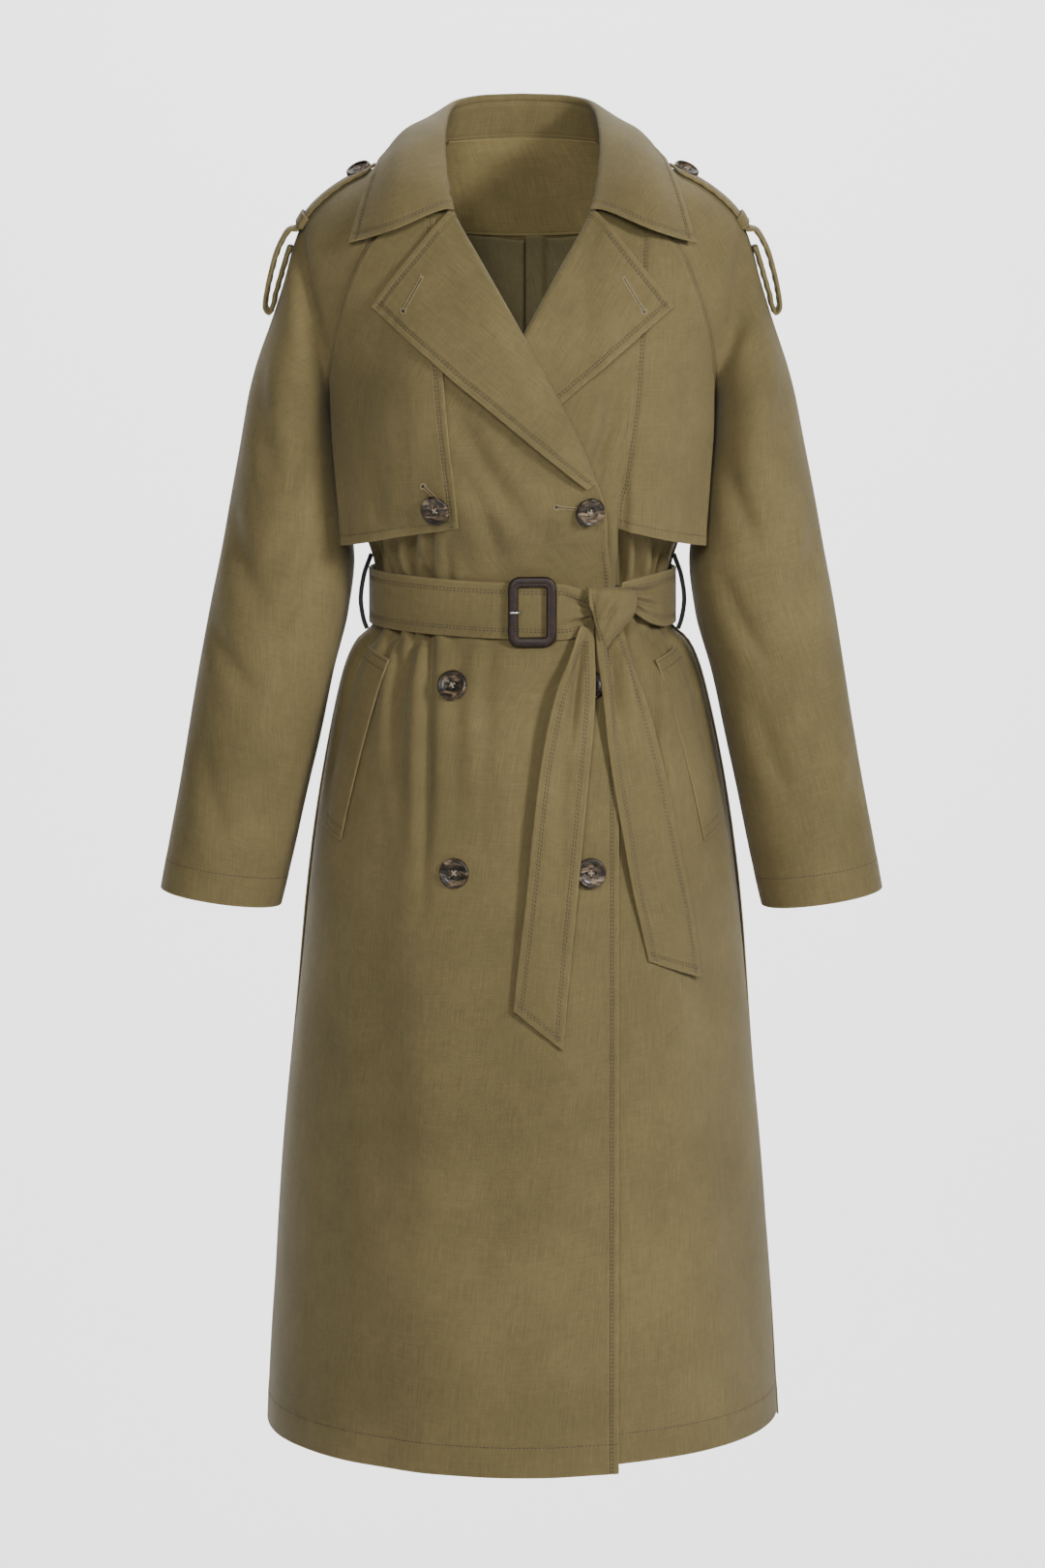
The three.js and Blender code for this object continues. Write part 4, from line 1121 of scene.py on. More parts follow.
def build_sleeve(name, side, seed):
    down, around = GRID["sleeve"]
    points = sleeve_point(np.linspace(0, CUFF_ROW, down)[:, None], np.linspace(0, 1, around)[None, :])
    points = spaced(points, STITCHED_EDGE, STITCHED_EDGE, PLAIN_EDGE, HEMMED_EDGE, 4.2, 5)
    back_creases = dict(SLEEVE_BACK_CREASES)
    if side < 0:
        points = mirrored(points)
        back_creases["x0"], back_creases["x1"] = -back_creases["x0"] - 5, 3 - back_creases["x1"]
    points = creased(points, SLEEVE_CREASES["left" if side > 0 else "right"])
    points = creased(points, back_creases, facing=1)
    distance = edge_distances(points)
    seamed = smoothstep(points[..., 2], -250, -205)
    out = soft_waves(points, 1.6, seed) * smoothstep(-points[..., 2], 90, 240)
    for edge in ("left", "right"):
        out = out + seamed * relief(distance[edge], (EDGE_ROW, SECOND_ROW))
        out = out + seamed * puckers(distance[edge], distance["top"])
    out = out + hemmed(distance)
    points = pushed(points, out)
    thread = threads(name)
    for edge in ("left", "right"):
        for row in (EDGE_ROW, SECOND_ROW):
            thread.edge(points, edge, row, stop=SLEEVE_STITCHED)
    thread.edge(points, "bottom", HEM_ROW)
    cloth(name, points, CLOTH, gabardine, "hung", thread=thread)


build_sleeve("sleeve_left", 1, 21)
build_sleeve("sleeve_right", -1, 22)


SEARCH_STEPS = 24


def on_shoulder(row, behind, out):
    """Point of the left sleeve's shoulder, a distance behind its ridge, moved out from the cloth."""
    row, behind, out = np.broadcast_arrays(*(np.asarray(v, float) for v in (row, behind, out)))
    low, high = np.full(row.shape, 0.25), np.full(row.shape, 0.75)
    for _ in range(SEARCH_STEPS):
        middle = (low + high) / 2
        before = sleeve_point(row, middle)[..., 1] < sleeve["top_y"](row) + behind
        low, high = np.where(before, middle, low), np.where(before, high, middle)
    step = 0.02
    along = sleeve_point(row + step, low) - sleeve_point(row - step, low)
    around = sleeve_point(row, low + step) - sleeve_point(row, low - step)
    return sleeve_point(row, low) + scaled(unit(np.cross(along, around)), out)


def neck_seam(s):
    """Left half of the neck seam, from the centre back (0) over the shoulder (2 to 4) to the gorge (6)."""
    share = 0.5 - s / 4
    back_z = BACK_TOP_Z * (1 - np.sin(np.pi * share))
    back_angle = RAGLAN["back_angle"][0]
    back = on_section(body, back_z, lerp(back_angle, 360 - back_angle, share))
    shoulder = sleeve_point(0, np.clip(2 - s / 2, 0, 1))
    share = s / 2 - 2
    front_z = lerp(FRONT_TOP_Z, GORGE_Z, share)
    gorge_angle = -angle_at(front_edge(GORGE_Z), GORGE_Z)
    front = on_section(body, front_z, lerp(RAGLAN["front_angle"][0], gorge_angle, share))
    return np.where((s <= 2)[..., None], back, np.where((s <= 4)[..., None], shoulder, front))


# Collar sections at the same stations
COLLAR = table("s roll_x roll_y roll_z leaf_x leaf_y leaf_z edge_x edge_y edge_z over stand", [
    [0, 0, 63, 35.5, 0, 92, 8, 0, 100, -22, 0.7, 0.78],
    [1, 31, 57, 34.5, 43, 84, 7, 52, 92, -26, 0.7, 0.78],
    [2, 55, 38, 29.5, 80, 63, 8, 92, 68, -19, 0.7, 0.75],
    [3, 62, 8, 18, 95, 11, 9, 116, 12, -14, 1, 0.62],
    [4, 64, -25, 0, 100, -30, -5, 125, -24, -26, 2.5, 0.45],
    [5, 61, -58, -30, 104, -69, -37, 135, -49, -54, 2, 0.45],
    [6, 56.5, -83, -56, 106, -90, -72, 143.5, -68, -84, 0.5, 0.5],
])
STAND_END = 5.5
FALL_END = 6
NECK_SEAM_GAP = 0.9
SEAM_GAP = 0.4
ROLL_DEPTH = 7
collar = curves(COLLAR, "s")


def catmull(knots, t):
    """Centripetal spline through knots (K, ..., 3), at shares t of the way from the first to the last."""
    first, last = 2 * knots[0] - knots[1], 2 * knots[-1] - knots[-2]
    all_knots = np.concatenate([first[None], knots, last[None]])
    place = np.asarray(t, float) * (len(knots) - 1)
    result = []
    for at in place:
        i = min(int(at), len(knots) - 2)
        w = at - i
        x0, x1, x2, x3 = all_knots[i:i + 4]
        d0, d1, d2 = (np.maximum(np.linalg.norm(b - a, axis=-1, keepdims=True), 1e-6) ** 0.5
                      for a, b in ((x0, x1), (x1, x2), (x2, x3)))
        m1 = ((x1 - x0) / d0 - (x2 - x0) / (d0 + d1) + (x2 - x1) / d1) * d1
        m2 = ((x2 - x1) / d1 - (x3 - x1) / (d1 + d2) + (x3 - x2) / d2) * d1
        result.append(hermite(w, x1, m1, x2, m2))
    return np.array(result)


def collar_sections(stations):
    s = abs(stations)
    across = point(np.where(stations < 0, -1.0, 1.0), 1.0, 1.0)

    def at(line):
        return point(*(collar[f"{line}_{axis}"](s) for axis in "xyz")) * across

    return {
        "neck": neck_seam(s) * across,
        "roll": at("roll"),
        "leaf": at("leaf"),
        "edge": at("edge"),
        "over": collar["over"](s),
        "stand": collar["stand"](s),
    }


def build_collar_stand():
    up, along = GRID["stand"]
    stations = np.linspace(-STAND_END, STAND_END, along)
    section = collar_sections(stations)
    rise = section["roll"] - section["neck"]
    gap = NECK_SEAM_GAP / np.linalg.norm(rise, axis=-1)
    points = np.array([
        section["neck"] + scaled(rise, lerp(gap, section["stand"], share)) for share in np.linspace(1, 0, up)
    ])
    points = spaced(points, PLAIN_EDGE, PLAIN_EDGE, PLAIN_EDGE, NARROW_EDGE, 4)
    distance = edge_distances(points)
    points = pushed(points, relief(distance["bottom"], (NARROW_ROW,), 0.2, 0.3))
    cloth("collar_stand", points, COLLAR_CLOTH, gabardine, "folded")


def build_collar_fall():
    down, along = GRID["fall"]
    stations = np.linspace(-FALL_END, FALL_END, along)
    section = collar_sections(stations)
    rise = section["roll"] - section["neck"]
    start = section["neck"] + scaled(rise, section["stand"] + SEAM_GAP / np.linalg.norm(rise, axis=-1))
    outward = (section["leaf"] - section["roll"]) * [1, 1, 0]
    top = section["roll"] + unit(outward) * ROLL_DEPTH + point(0, 0, section["over"])
    knots = np.array([section["edge"], section["leaf"], top, section["roll"], start])
    points = catmull(knots, np.linspace(0, 1, down))
    points = spaced(points, STITCHED_EDGE, STITCHED_EDGE, STITCHED_EDGE, NARROW_EDGE, 4)
    distance = edge_distances(points)
    out = relief(distance["top"], (EDGE_ROW, SECOND_ROW)) + puckers(distance["top"], distance["left"])
    for edge in ("left", "right"):
        out = np.minimum(out, 0.5) + relief(distance[edge], (EDGE_ROW, SECOND_ROW), 0.0, 0.3)
    out = out + relief(distance["bottom"], (NARROW_ROW,), 0.0, 0.4)
    near_top = smoothstep(distance["bottom"], 6, 30)
    out = out + soft_waves(points, 0.8, 31) * near_top * smoothstep(distance["top"], 0, 20)
    points = pushed(points, out)
    thread = threads("collar_fall")
    for row in (EDGE_ROW, SECOND_ROW):
        thread.edge(points, "top", row, start=0.01, stop=0.99)
        for edge in ("left", "right"):
            thread.edge(points, edge, row, start=0.06, stop=0.8)
    cloth("collar_fall", points, COLLAR_CLOTH, gabardine, "folded", thread=thread)


build_collar_stand()
build_collar_fall()

# Lapels: the top edge runs from the gorge to the tip, the lower edge from tip to break
ROLL_RADIUS = 4.6
LAPEL_TIP = {"x": -122, "z": -136.5}
LAPEL_BREAK = {"x": 60, "z": -287}
LAPEL_LIFT = ROLL_RADIUS - CLOTH / 2
LAPEL_STAND = 3.6
LAPEL_STAND_RUN = 12
LEFT_LAPEL_STAND = (48, 68)
ROLL_RETURN = 9
LAPEL_SPAN = (0.005, 0.965)
ROLL_ANGLES = np.radians(np.arange(12, 181, 12))


def lapel_grid(front_lift, leaf_lift):
    down, across = GRID["lapel"]
    t = np.linspace(*LAPEL_SPAN, down)[:, None]
    s = np.linspace(0, 1, across)[None, :]
    roll_z = lerp(GORGE_Z, LAPEL_BREAK["z"], t)
    roll_x = front_edge(roll_z) - ROLL_RADIUS
    tip_x = lerp(LAPEL_TIP["x"], LAPEL_BREAK["x"] - ROLL_RADIUS, t)
    tip_z = lerp(LAPEL_TIP["z"], LAPEL_BREAK["z"], t)
    x, z = lerp(tip_x, roll_x, s), lerp(tip_z, roll_z, s)
    stand = leaf_lift(x) * smoothstep(roll_x - x, 0, LAPEL_STAND_RUN)
    leaf = front_point(x, z, front_lift(x, z) + LAPEL_LIFT + stand)
    normal = section_normal(body, roll_z, angle_at(roll_x, roll_z))
    below = front_point(front_edge(roll_z - 5), roll_z - 5) - front_point(front_edge(roll_z), roll_z)
    beyond = -unit(np.cross(below, normal))
    centre = front_point(roll_x, roll_z, front_lift(roll_x, roll_z) - CLOTH / 2)
    around = [
        centre + (normal * math.cos(angle) + beyond * math.sin(angle)) * ROLL_RADIUS
        for angle in ROLL_ANGLES
    ]
    back = around[-1] - beyond * ROLL_RETURN
    return np.concatenate([leaf, *around, back], axis=1)


def build_lapel(name, points, edge, inner, seed):
    bands = {edge: STITCHED_EDGE, inner: [0, 1]}
    points = spaced(points, bands["left"], bands["right"], STITCHED_EDGE, PLAIN_EDGE, 2.6)
    distance = edge_distances(points)
    edge_distance = np.minimum(distance[edge], distance["top"])
    out = relief(edge_distance, (EDGE_ROW, SECOND_ROW)) + puckers(distance[edge], distance["top"])
    middle = smoothstep(edge_distance, 4, 30) * smoothstep(distance[inner], 14, 40)
    out = out + soft_waves(points, 1.3, seed) * middle
    points = pushed(points, out)
    thread = threads(name)
    start, stop = (0.03, 0.75) if edge == "left" else (0.25, 0.97)
    for row in (EDGE_ROW, SECOND_ROW):
        thread.edge(points, edge, row, start=0.02, stop=0.97)
        thread.edge(points, "top", row, start, stop)
    cloth(name, points, COLLAR_CLOTH, gabardine, "folded", thread=thread)
    return points


def lapel_full_stand(x):
    return LAPEL_STAND + 0 * x


def lapel_left_stand(x):
    return LAPEL_STAND * smoothstep(-x, *LEFT_LAPEL_STAND)


lapel_right_grid = lapel_grid(lap_lift, lapel_full_stand)
lapel_left_grid = mirrored(lapel_grid(no_lift, lapel_left_stand))
lapel_right_points = build_lapel("lapel_right", lapel_right_grid, "left", "right", 41)
lapel_left_points = build_lapel("lapel_left", lapel_left_grid, "right", "left", 42)

# Storm flaps: the outer edge follows the raglan seam to the bust and then falls free
FLAP_TOP_Z, FLAP_LOW_Z = -66, -338
FLAP_SEAM_INSET = 1.5
FLAP_FREE = (60, 120)
FLAP_OUTER = table("z x", [
    [-338, 150],
    [-291, 153.5],
    [-235, 157],
    [-197, 158],
])
flap_outer_x = curve(FLAP_OUTER["z"], FLAP_OUTER["x"])
FLAPS = {
    "flap_right": {"side": -1, "inner_x": [50, 62, 72], "inner_z": [-313, -190, -66], "lift": lap_lift},
    "flap_left": {"side": 1, "inner_x": [76, 92, 97], "inner_z": [-319, -184, -66], "lift": no_lift},
}
FLAP_SEWN_DOWN = {"flap_right": 0, "flap_left": 3.9}
FLAP_CREASES = {
    "flap_right": crease_table([
        [-138, -172, -120, -300, 4, 1.8, 12],
        [-104, -196, -98, -334, -3, 1.6, 9],
        [-84, -230, -78, -330, 2, 1.2, 8],
        [-152, -246, -146, -338, -2, 1.6, 8],
        [-120, -268, -114, -340, 2, 1.5, 6],
        [-62, -262, -58, -322, 1, 0.9, 6],
    ]),
    "flap_left": crease_table([
        [140, -176, 124, -300, -4, 1.8, 12],
        [112, -214, 104, -330, 3, 1.6, 9],
        [88, -286, 84, -326, 0, 2.6, 5],
        [152, -254, 146, -338, 2, 1.5, 8],
        [126, -280, 122, -338, -2, 1.2, 6],
    ]),
}


def flap_grid(side, inner_x, inner_z, lift):
    inner_edge = curve(inner_z, inner_x)
    down, across = GRID["flap"]
    z = np.linspace(FLAP_TOP_Z, FLAP_LOW_Z, down)[:, None]
    s = np.linspace(0, 1, across)[None, :]
    seam_x = on_section(body, z, front_seam_angle(z))[..., 0] - FLAP_SEAM_INSET
    outer_x = np.where(z > BUST_Z, seam_x, flap_outer_x(z))
    edge_z = lerp(inner_z[2], inner_z[0], (z - FLAP_TOP_Z) / (FLAP_LOW_Z - FLAP_TOP_Z))
    x, height = lerp(outer_x, inner_edge(edge_z), s), lerp(z, edge_z, s)
    out = lift(side * x, height) + FLAP_LIFT
    near = front_point(side * x, height, out)
    hanging = front_point(side * x, height, out, flap_hang)
    points = lerp(near, hanging, smoothstep(x, *FLAP_FREE)[..., None])
    return points if side < 0 else points[:, ::-1]


def build_flap(name, form, seed):
    edge, seam = ("right", "left") if form["side"] < 0 else ("left", "right")
    points = flap_grid(**form)
    points = spaced(points, STITCHED_EDGE, STITCHED_EDGE, PLAIN_EDGE, STITCHED_EDGE, 3.6)
    points = creased(points, FLAP_CREASES[name])
    distance = edge_distances(points)
    free = smoothstep(-points[..., 2], 205, 250)
    out = relief(distance[edge], (EDGE_ROW, SECOND_ROW)) + puckers(distance[edge], distance["top"])
    out = np.maximum(out, relief(distance["bottom"], (SECOND_ROW,), 0.45, 0.32))
    sewn = FLAP_SEWN_DOWN[name] * (1 + smoothstep(-points[..., 2], 220, 305))
    out = out - sewn * (1 - smoothstep(distance[edge], 0, 13))
    out = out + puckers(distance["bottom"], distance["left"], 14, 0.32, 15)
    out = out + free * relief(distance[seam], (EDGE_ROW,), 0.3, 0.4)
    out = out + soft_waves(points, 1.1, seed) * smoothstep(-points[..., 2], 120, 220)
    points = pushed(points, out)
    thread = threads(name)
    for row in (EDGE_ROW, SECOND_ROW):
        thread.edge(points, edge, row, start=0.05, stop=0.985)
    thread.edge(points, "bottom", SECOND_ROW, start=0.01, stop=0.99)
    cloth(name, points, CLOTH, gabardine, "hung", thread=thread)
    return points


flap_points = {name: build_flap(name, form, 51 + i) for i, (name, form) in enumerate(FLAPS.items())}

# Shoulder straps: each lies on the sleeve from its point to the keeper, hangs in a loop and turns back up
STRAP_HALF = 18
STRAP_LIFT = 0.6 + STRAP_CLOTH
STRAP_POINT = 0.36
STRAP_ROWS = [1.92, 2.1, 2.5, 3, 3.5, 4, 4.5, 5, 5.3]
STRAP_TOP_Y_ROW = 6
KEEPER_ROW = 5.02
KEEPER_HALF_WIDTH = 0.2
KEEPER_STITCH_ROW = 1.6
STRAP_BUTTON_ROW = 2.52
STRAP_LOOP = table("x z drop", [
    [198.5, -74.5, 2],
    [204.5, -83, 1.6],
    [210, -95, 1.2],
    [214.5, -111, 1],
    [218, -127, 0.8],
    [219.6, -141, 0.6],
    [217.6, -146.6, 0.6],
    [213, -147.4, 0.6],
    [210.4, -142, 0.6],
    [207.6, -130, 0.8],
    [203.6, -116, 1],
    [199.5, -102, 1.2],
    [196, -91, 1.6],
])
KEEPER = table("behind out", [
    [-22, 0.7],
    [-21.6, 4.0],
    [-19, 5.9],
    [-9.5, 6.1],
    [0, 6.1],
    [9.5, 6.1],
    [19, 5.9],
    [21.6, 4.0],
    [22, 0.7],
])


def strap_grid():
    down, across = GRID["strap"]
    c = np.linspace(-1, 1, across)
    cut = [np.abs(c) * STRAP_POINT * max(0, 1 - i / 2) for i in range(len(STRAP_ROWS))]
    lying = [on_shoulder(row + cut[i], c * STRAP_HALF, STRAP_LIFT) for i, row in enumerate(STRAP_ROWS)]
    y = sleeve["top_y"](STRAP_TOP_Y_ROW) + c * STRAP_HALF
    loop = [
        point(bend["x"] - bend["drop"] * c * c, y, bend["z"] - bend["drop"] * c * c / 2)
        for bend in rows_of(STRAP_LOOP)
    ]
    return catmull(np.array([*lying, *loop]), np.linspace(0, 1, down))


def build_strap(name, side):
    points = strap_grid()
    points = points if side > 0 else mirrored(points)
    points = spaced(points, NARROW_EDGE, NARROW_EDGE, NARROW_EDGE, PLAIN_EDGE, 2.4)
    distance = edge_distances(points)
    edge_distance = np.minimum.reduce([distance["left"], distance["right"], distance["top"]])
    out = relief(edge_distance, (NARROW_ROW,), 0.0, 0.4) + puckers(edge_distance, distance["top"], 6)
    points = pushed(points, out)
    thread = threads(name)
    for edge in ("left", "right"):
        thread.edge(points, edge, NARROW_ROW, start=0.01, stop=0.5)
    thread.edge(points, "top", NARROW_ROW, start=0.08, stop=0.92)
    cloth(name, points, STRAP_CLOTH, gabardine, "folded", thread=thread)


def build_keeper(name, side):
    down, across = GRID["keeper"]
    knots = point(KEEPER["behind"], KEEPER["out"], 0)
    section = catmull(knots, np.linspace(0, 1, across))
    along = np.linspace(-KEEPER_HALF_WIDTH, KEEPER_HALF_WIDTH, down)[:, None]
    points = on_shoulder(KEEPER_ROW + along, section[None, :, 0], section[None, :, 1])
    points = points if side > 0 else mirrored(points)
    thread = threads(name)
    for edge in ("top", "bottom"):
        thread.edge(points, edge, KEEPER_STITCH_ROW, start=0.12, stop=0.88)
    cloth(name, points, CLOTH, gabardine, "stretched", thread=thread)


for side, name in SIDES:
    build_strap("epaulette_" + name, side)
    build_keeper("epaulette_keeper_" + name, side)

# Back neck facing and lining, inside the back: half widths of their inner faces by height
INNER_LIFT = -CLOTH - 1
FACING = table("z half", [
    [-3, 63],
    [-14, 71],
    [-26, 77],
    [-45, 82],
    [-65, 86],
    [-78, 90],
])
FACING_DIP = 6
FACING_TUCK = 1.8
LINING = table("z half", [
    [-78.6, 84],
    [-110, 92],
    [-150, 98],
    [-200, 104],
    [-250, 108],
    [-296, 106],
])
# Shares of the half width: one side, the pleat with its closer columns, and the other side
LINING_STRETCHES = ((1, 0.06), (0.055, -0.055), (-0.06, -1))
PLEAT = table("x stand", [
    [-60, 1],
    [-30, 4],
    [-8, 8.5],
    [-1.2, 10],
    [0.4, 9.4],
    [1.6, 0.2],
    [10, -0.4],
    [17, 0.4],
    [24, 6],
    [34, 7],
    [60, 2],
])


def build_facing():
    half = curve(FACING["z"], FACING["half"])
    down, across = GRID["facing"]
    z = np.linspace(FACING["z"][0], FACING["z"][-1], down)[:, None]
    s = np.linspace(1, -1, across)[None, :]
    share = (FACING["z"][0] - z) / (FACING["z"][0] - FACING["z"][-1])
    dip = lerp(-BACK_TOP_Z / 2, -FACING_DIP, smoothstep(share, 0, 0.25)) * np.maximum(share, 0.25)
    dip = np.where(share < 0.01, -BACK_TOP_Z / 2, dip)
    points = back_point(s * half(z), z + dip * np.cos(s * math.pi / 2), INNER_LIFT)
    points = spaced(points, PLAIN_EDGE, PLAIN_EDGE, PLAIN_EDGE, NARROW_EDGE, 3.5)
    distance = edge_distances(points)
    tuck = FACING_TUCK * (1 - smoothstep(distance["top"], 0, 14))
    out = tuck - relief(distance["bottom"], (NARROW_ROW,), 0.0, 0.3) + soft_waves(points, 0.5, 61)
    points = pushed(points, out)
    # The facing's cloth is the gabardine made paler, as painted light for the shaded inside of the neck
    cloth("facing_back_neck", points, FACING_CLOTH, inside_cloth_painted_light, "hung")


def build_lining():
    half = curve(LINING["z"], LINING["half"])
    stand = curve(PLEAT["x"], PLEAT["stand"])
    down, across = GRID["lining"]
    z = np.linspace(LINING["z"][0], LINING["z"][-1], down)[:, None]
    s = np.concatenate([np.linspace(*stretch, across) for stretch in LINING_STRETCHES])
    x = s[None, :] * half(z)
    dip = -FACING_DIP * np.cos(x / half(z) * math.pi / 2) - SEAM_GAP
    opening = lerp(1.0, 1.5, smoothstep(-z, 80, 260))
    points = back_point(x, z + dip, INNER_LIFT - np.maximum(stand(x), -0.6) * opening)
    points = pushed(points, soft_waves(points, 0.9, 62) * smoothstep(abs(points[..., 0]), 16, 40))
    cloth("lining_back", points, LINING_CLOTH, lining, "hung")


build_facing()
build_lining()

# Belt round the waist over the coat
BELT_HALF, BELT_FRONT, BELT_BACK = 131, -105.5, 101.6
BELT = {
    "half": lambda z: BELT_HALF + 0 * z,
    "front": lambda z: BELT_FRONT + 0 * z,
    "back": lambda z: BELT_BACK + 0 * z,
}
BELT_DEPTH = 110
BELT_STRETCHES = ((-320, -290, 50), (-290, 8, 260), (8, 27, 34))
BELT_EDGES = table("angle top bottom", [
    [-320, -368, -384],
    [-314, -366, -392],
    [-302, -364, -404],
    [-290, -363, -408],
    [-180, -363, -408],
    [-70, -363, -408],
    [0, -366, -411],
    [14, -367, -412],
    [22, -372, -409],
    [27, -377, -405],
])
belt_edges = curves(BELT_EDGES, "angle")

# Creases that fan out from the knot: where they start and end round the belt, and how deep they are
BELT_CREASES = table("angle0 share0 angle1 share1 depth width", [
    [-319, 0.42, -292, 0.24, 5.0, 2.4],
    [-319, 0.62, -294, 0.62, 4.4, 2.2],
    [-316, 0.84, -302, 0.90, 2.4, 2.0],
    [28, 0.36, 12, 0.16, 4.2, 2.2],
    [28, 0.64, 11, 0.76, 4.6, 2.4],
    [27, 0.50, 18, 0.48, 2.4, 1.8],
    [-60, 0.30, -40, 0.38, 0.8, 3.0],
    [-30, 0.62, -12, 0.52, 0.6, 3.4],
    [-150, 0.55, -120, 0.45, 0.9, 3.5],
    [-210, 0.35, -235, 0.55, 1.0, 3.2],
])
BELT_ROWS = (5.6, 7.8)


def belt_point(x, z, out):
    return front_point(x, z, out, BELT)


def build_belt():
    stretches = [np.linspace(*stretch)[1:] for stretch in BELT_STRETCHES]
    angles = np.concatenate([[BELT_STRETCHES[0][0]], *stretches])
    s = np.linspace(0, 1, GRID["belt"])[:, None]
    z = lerp(belt_edges["top"](angles), belt_edges["bottom"](angles), s)
    points = section_point(z, angles + 0 * s, 0, BELT)
    points = spaced(points, PLAIN_EDGE, PLAIN_EDGE, BELT_EDGE, BELT_EDGE, 3)
    angle = np.degrees(np.arctan2(points[..., 0] / BELT_HALF, (SIDE_Y - points[..., 1]) / BELT_DEPTH))
    angle = np.where(angle > 30, angle - 360, angle)
    distance = edge_distances(points)
    height = distance["top"] + distance["bottom"]
    share = distance["top"] / height
    out = np.zeros(share.shape)
    for crease in rows_of(BELT_CREASES):
        t = (angle - crease["angle0"]) / (crease["angle1"] - crease["angle0"])
        line = lerp(crease["share0"], crease["share1"], np.clip(t, 0, 1))
        across = (share - line) * height / crease["width"]
        taper = smoothstep(t, -0.2, 0.1) * (1 - smoothstep(t, 0.35, 1.0))
        out -= crease["depth"] * taper * np.exp(-(across**2))
    near = np.minimum(distance["top"], distance["bottom"])
    out = out + relief(near, BELT_ROWS, 0.0, 0.3) + puckers(near, distance["left"], 5, 0.12)
    out = out + soft_waves(points, 0.45, 71)
    points = pushed(points, out)
    thread = threads("belt_band")
    for edge in ("top", "bottom"):
        for row in BELT_ROWS:
            thread.edge(points, edge, row)
    cloth("belt_band", points, BELT_CLOTH, belt_cloth, "folded", thread=thread)


build_belt()

# The knot's cloth comes over the band's two ends and tapers down between the tails
KNOT = table("z left right out droop", [
    [-376, 54, 88, 3.6, 3],
    [-368, 53, 88, 8, 4.5],
    [-371, 52.5, 89, 14.5, 6],
    [-386, 53.5, 88, 17.5, 7],
    [-398, 55.5, 79, 17.5, 6],
    [-408, 58, 69, 16, 3],
    [-414, 59.5, 65.5, 13.5, 1],
])
KNOT_SLANT = 4
KNOT_CREASES = crease_table([
    [88, -376, 66, -406, 3, 2.6, 2.6],
    [62, -368, 57, -400, 1, 1.5, 2.4],
    [80, -370, 70, -398, -2, 1.6, 2.4],
    [56, -392, 64, -412, 1, 1.2, 2.2],
])


def build_knot():
    down, across = GRID["knot"]
    s = np.linspace(0, 1, across)
    knots = []
    for row in rows_of(KNOT):
        x, z = lerp(row["left"], row["right"], s), row["z"] - KNOT_SLANT * s * s
        knots.append(belt_point(x, z, row["out"] - row["droop"] * (2 * s - 1) ** 2))
    points = catmull(np.array(knots), np.linspace(0, 1, down))
    points = spaced(points, NARROW_EDGE, NARROW_EDGE, PLAIN_EDGE, PLAIN_EDGE, 1.6)
    points = creased(points, KNOT_CREASES)
    distance = edge_distances(points)
    near = np.minimum(distance["left"], distance["right"])
    points = pushed(points, relief(near, (NARROW_ROW,), 0.0, 0.4) + soft_waves(points * 3, 0.3, 72))
    thread = threads("belt_knot")
    thread.edge(points, "left", NARROW_ROW, start=0.3, stop=0.97)
    cloth("belt_knot", points, BELT_CLOTH, belt_cloth, "folded", thread=thread)


build_knot()

# Belt tails: the ends of each cross line, and how far the outer face stands before the skirt's section
TAILS = {
    "belt_tail_left": table("x1 z1 x2 z2 out", [
        [50, -401, 59, -405, 15],
        [43, -420, 59.5, -422, 16.6],
        [31, -446, 60, -448, 18.2],
        [22, -480, 58, -484, 16.4],
        [15, -520, 54, -526, 14],
        [9, -570, 49, -577, 13.8],
        [4, -620, 44, -628, 12.5],
        [-2, -670, 39, -680, 10.5],
        [-7, -714.6, 33, -746.6, 9.2],
    ]),
    "belt_tail_right": table("x1 z1 x2 z2 out", [
        [61.5, -402, 80, -392, 15],
        [62, -421, 86, -412, 15.6],
        [65, -446, 95, -437, 16],
        [69, -480, 106, -472, 13],
        [75, -520, 116, -512, 11],
        [84, -570, 127, -562, 9],
        [93, -620, 137, -613, 6.8],
        [100, -650, 144, -650, 5.6],
        [106.5, -678.6, 150, -697.7, 4.8],
    ]),
}
TAIL_CREASES = {
    "belt_tail_left": crease_table([
        [52, -398, 40, -500, 1, 4.6, 3.8],
        [46, -420, 30, -580, 2, 1.6, 5],
        [34, -540, 24, -700, -2, 1.4, 7],
    ]),
    "belt_tail_right": crease_table([
        [70, -394, 80, -496, -2, 6.4, 3.8],
        [78, -402, 94, -550, 2, 3.8, 5],
        [88, -400, 104, -480, 0, 2.8, 4],
        [96, -540, 118, -676, -2, 1.4, 7],
    ]),
}


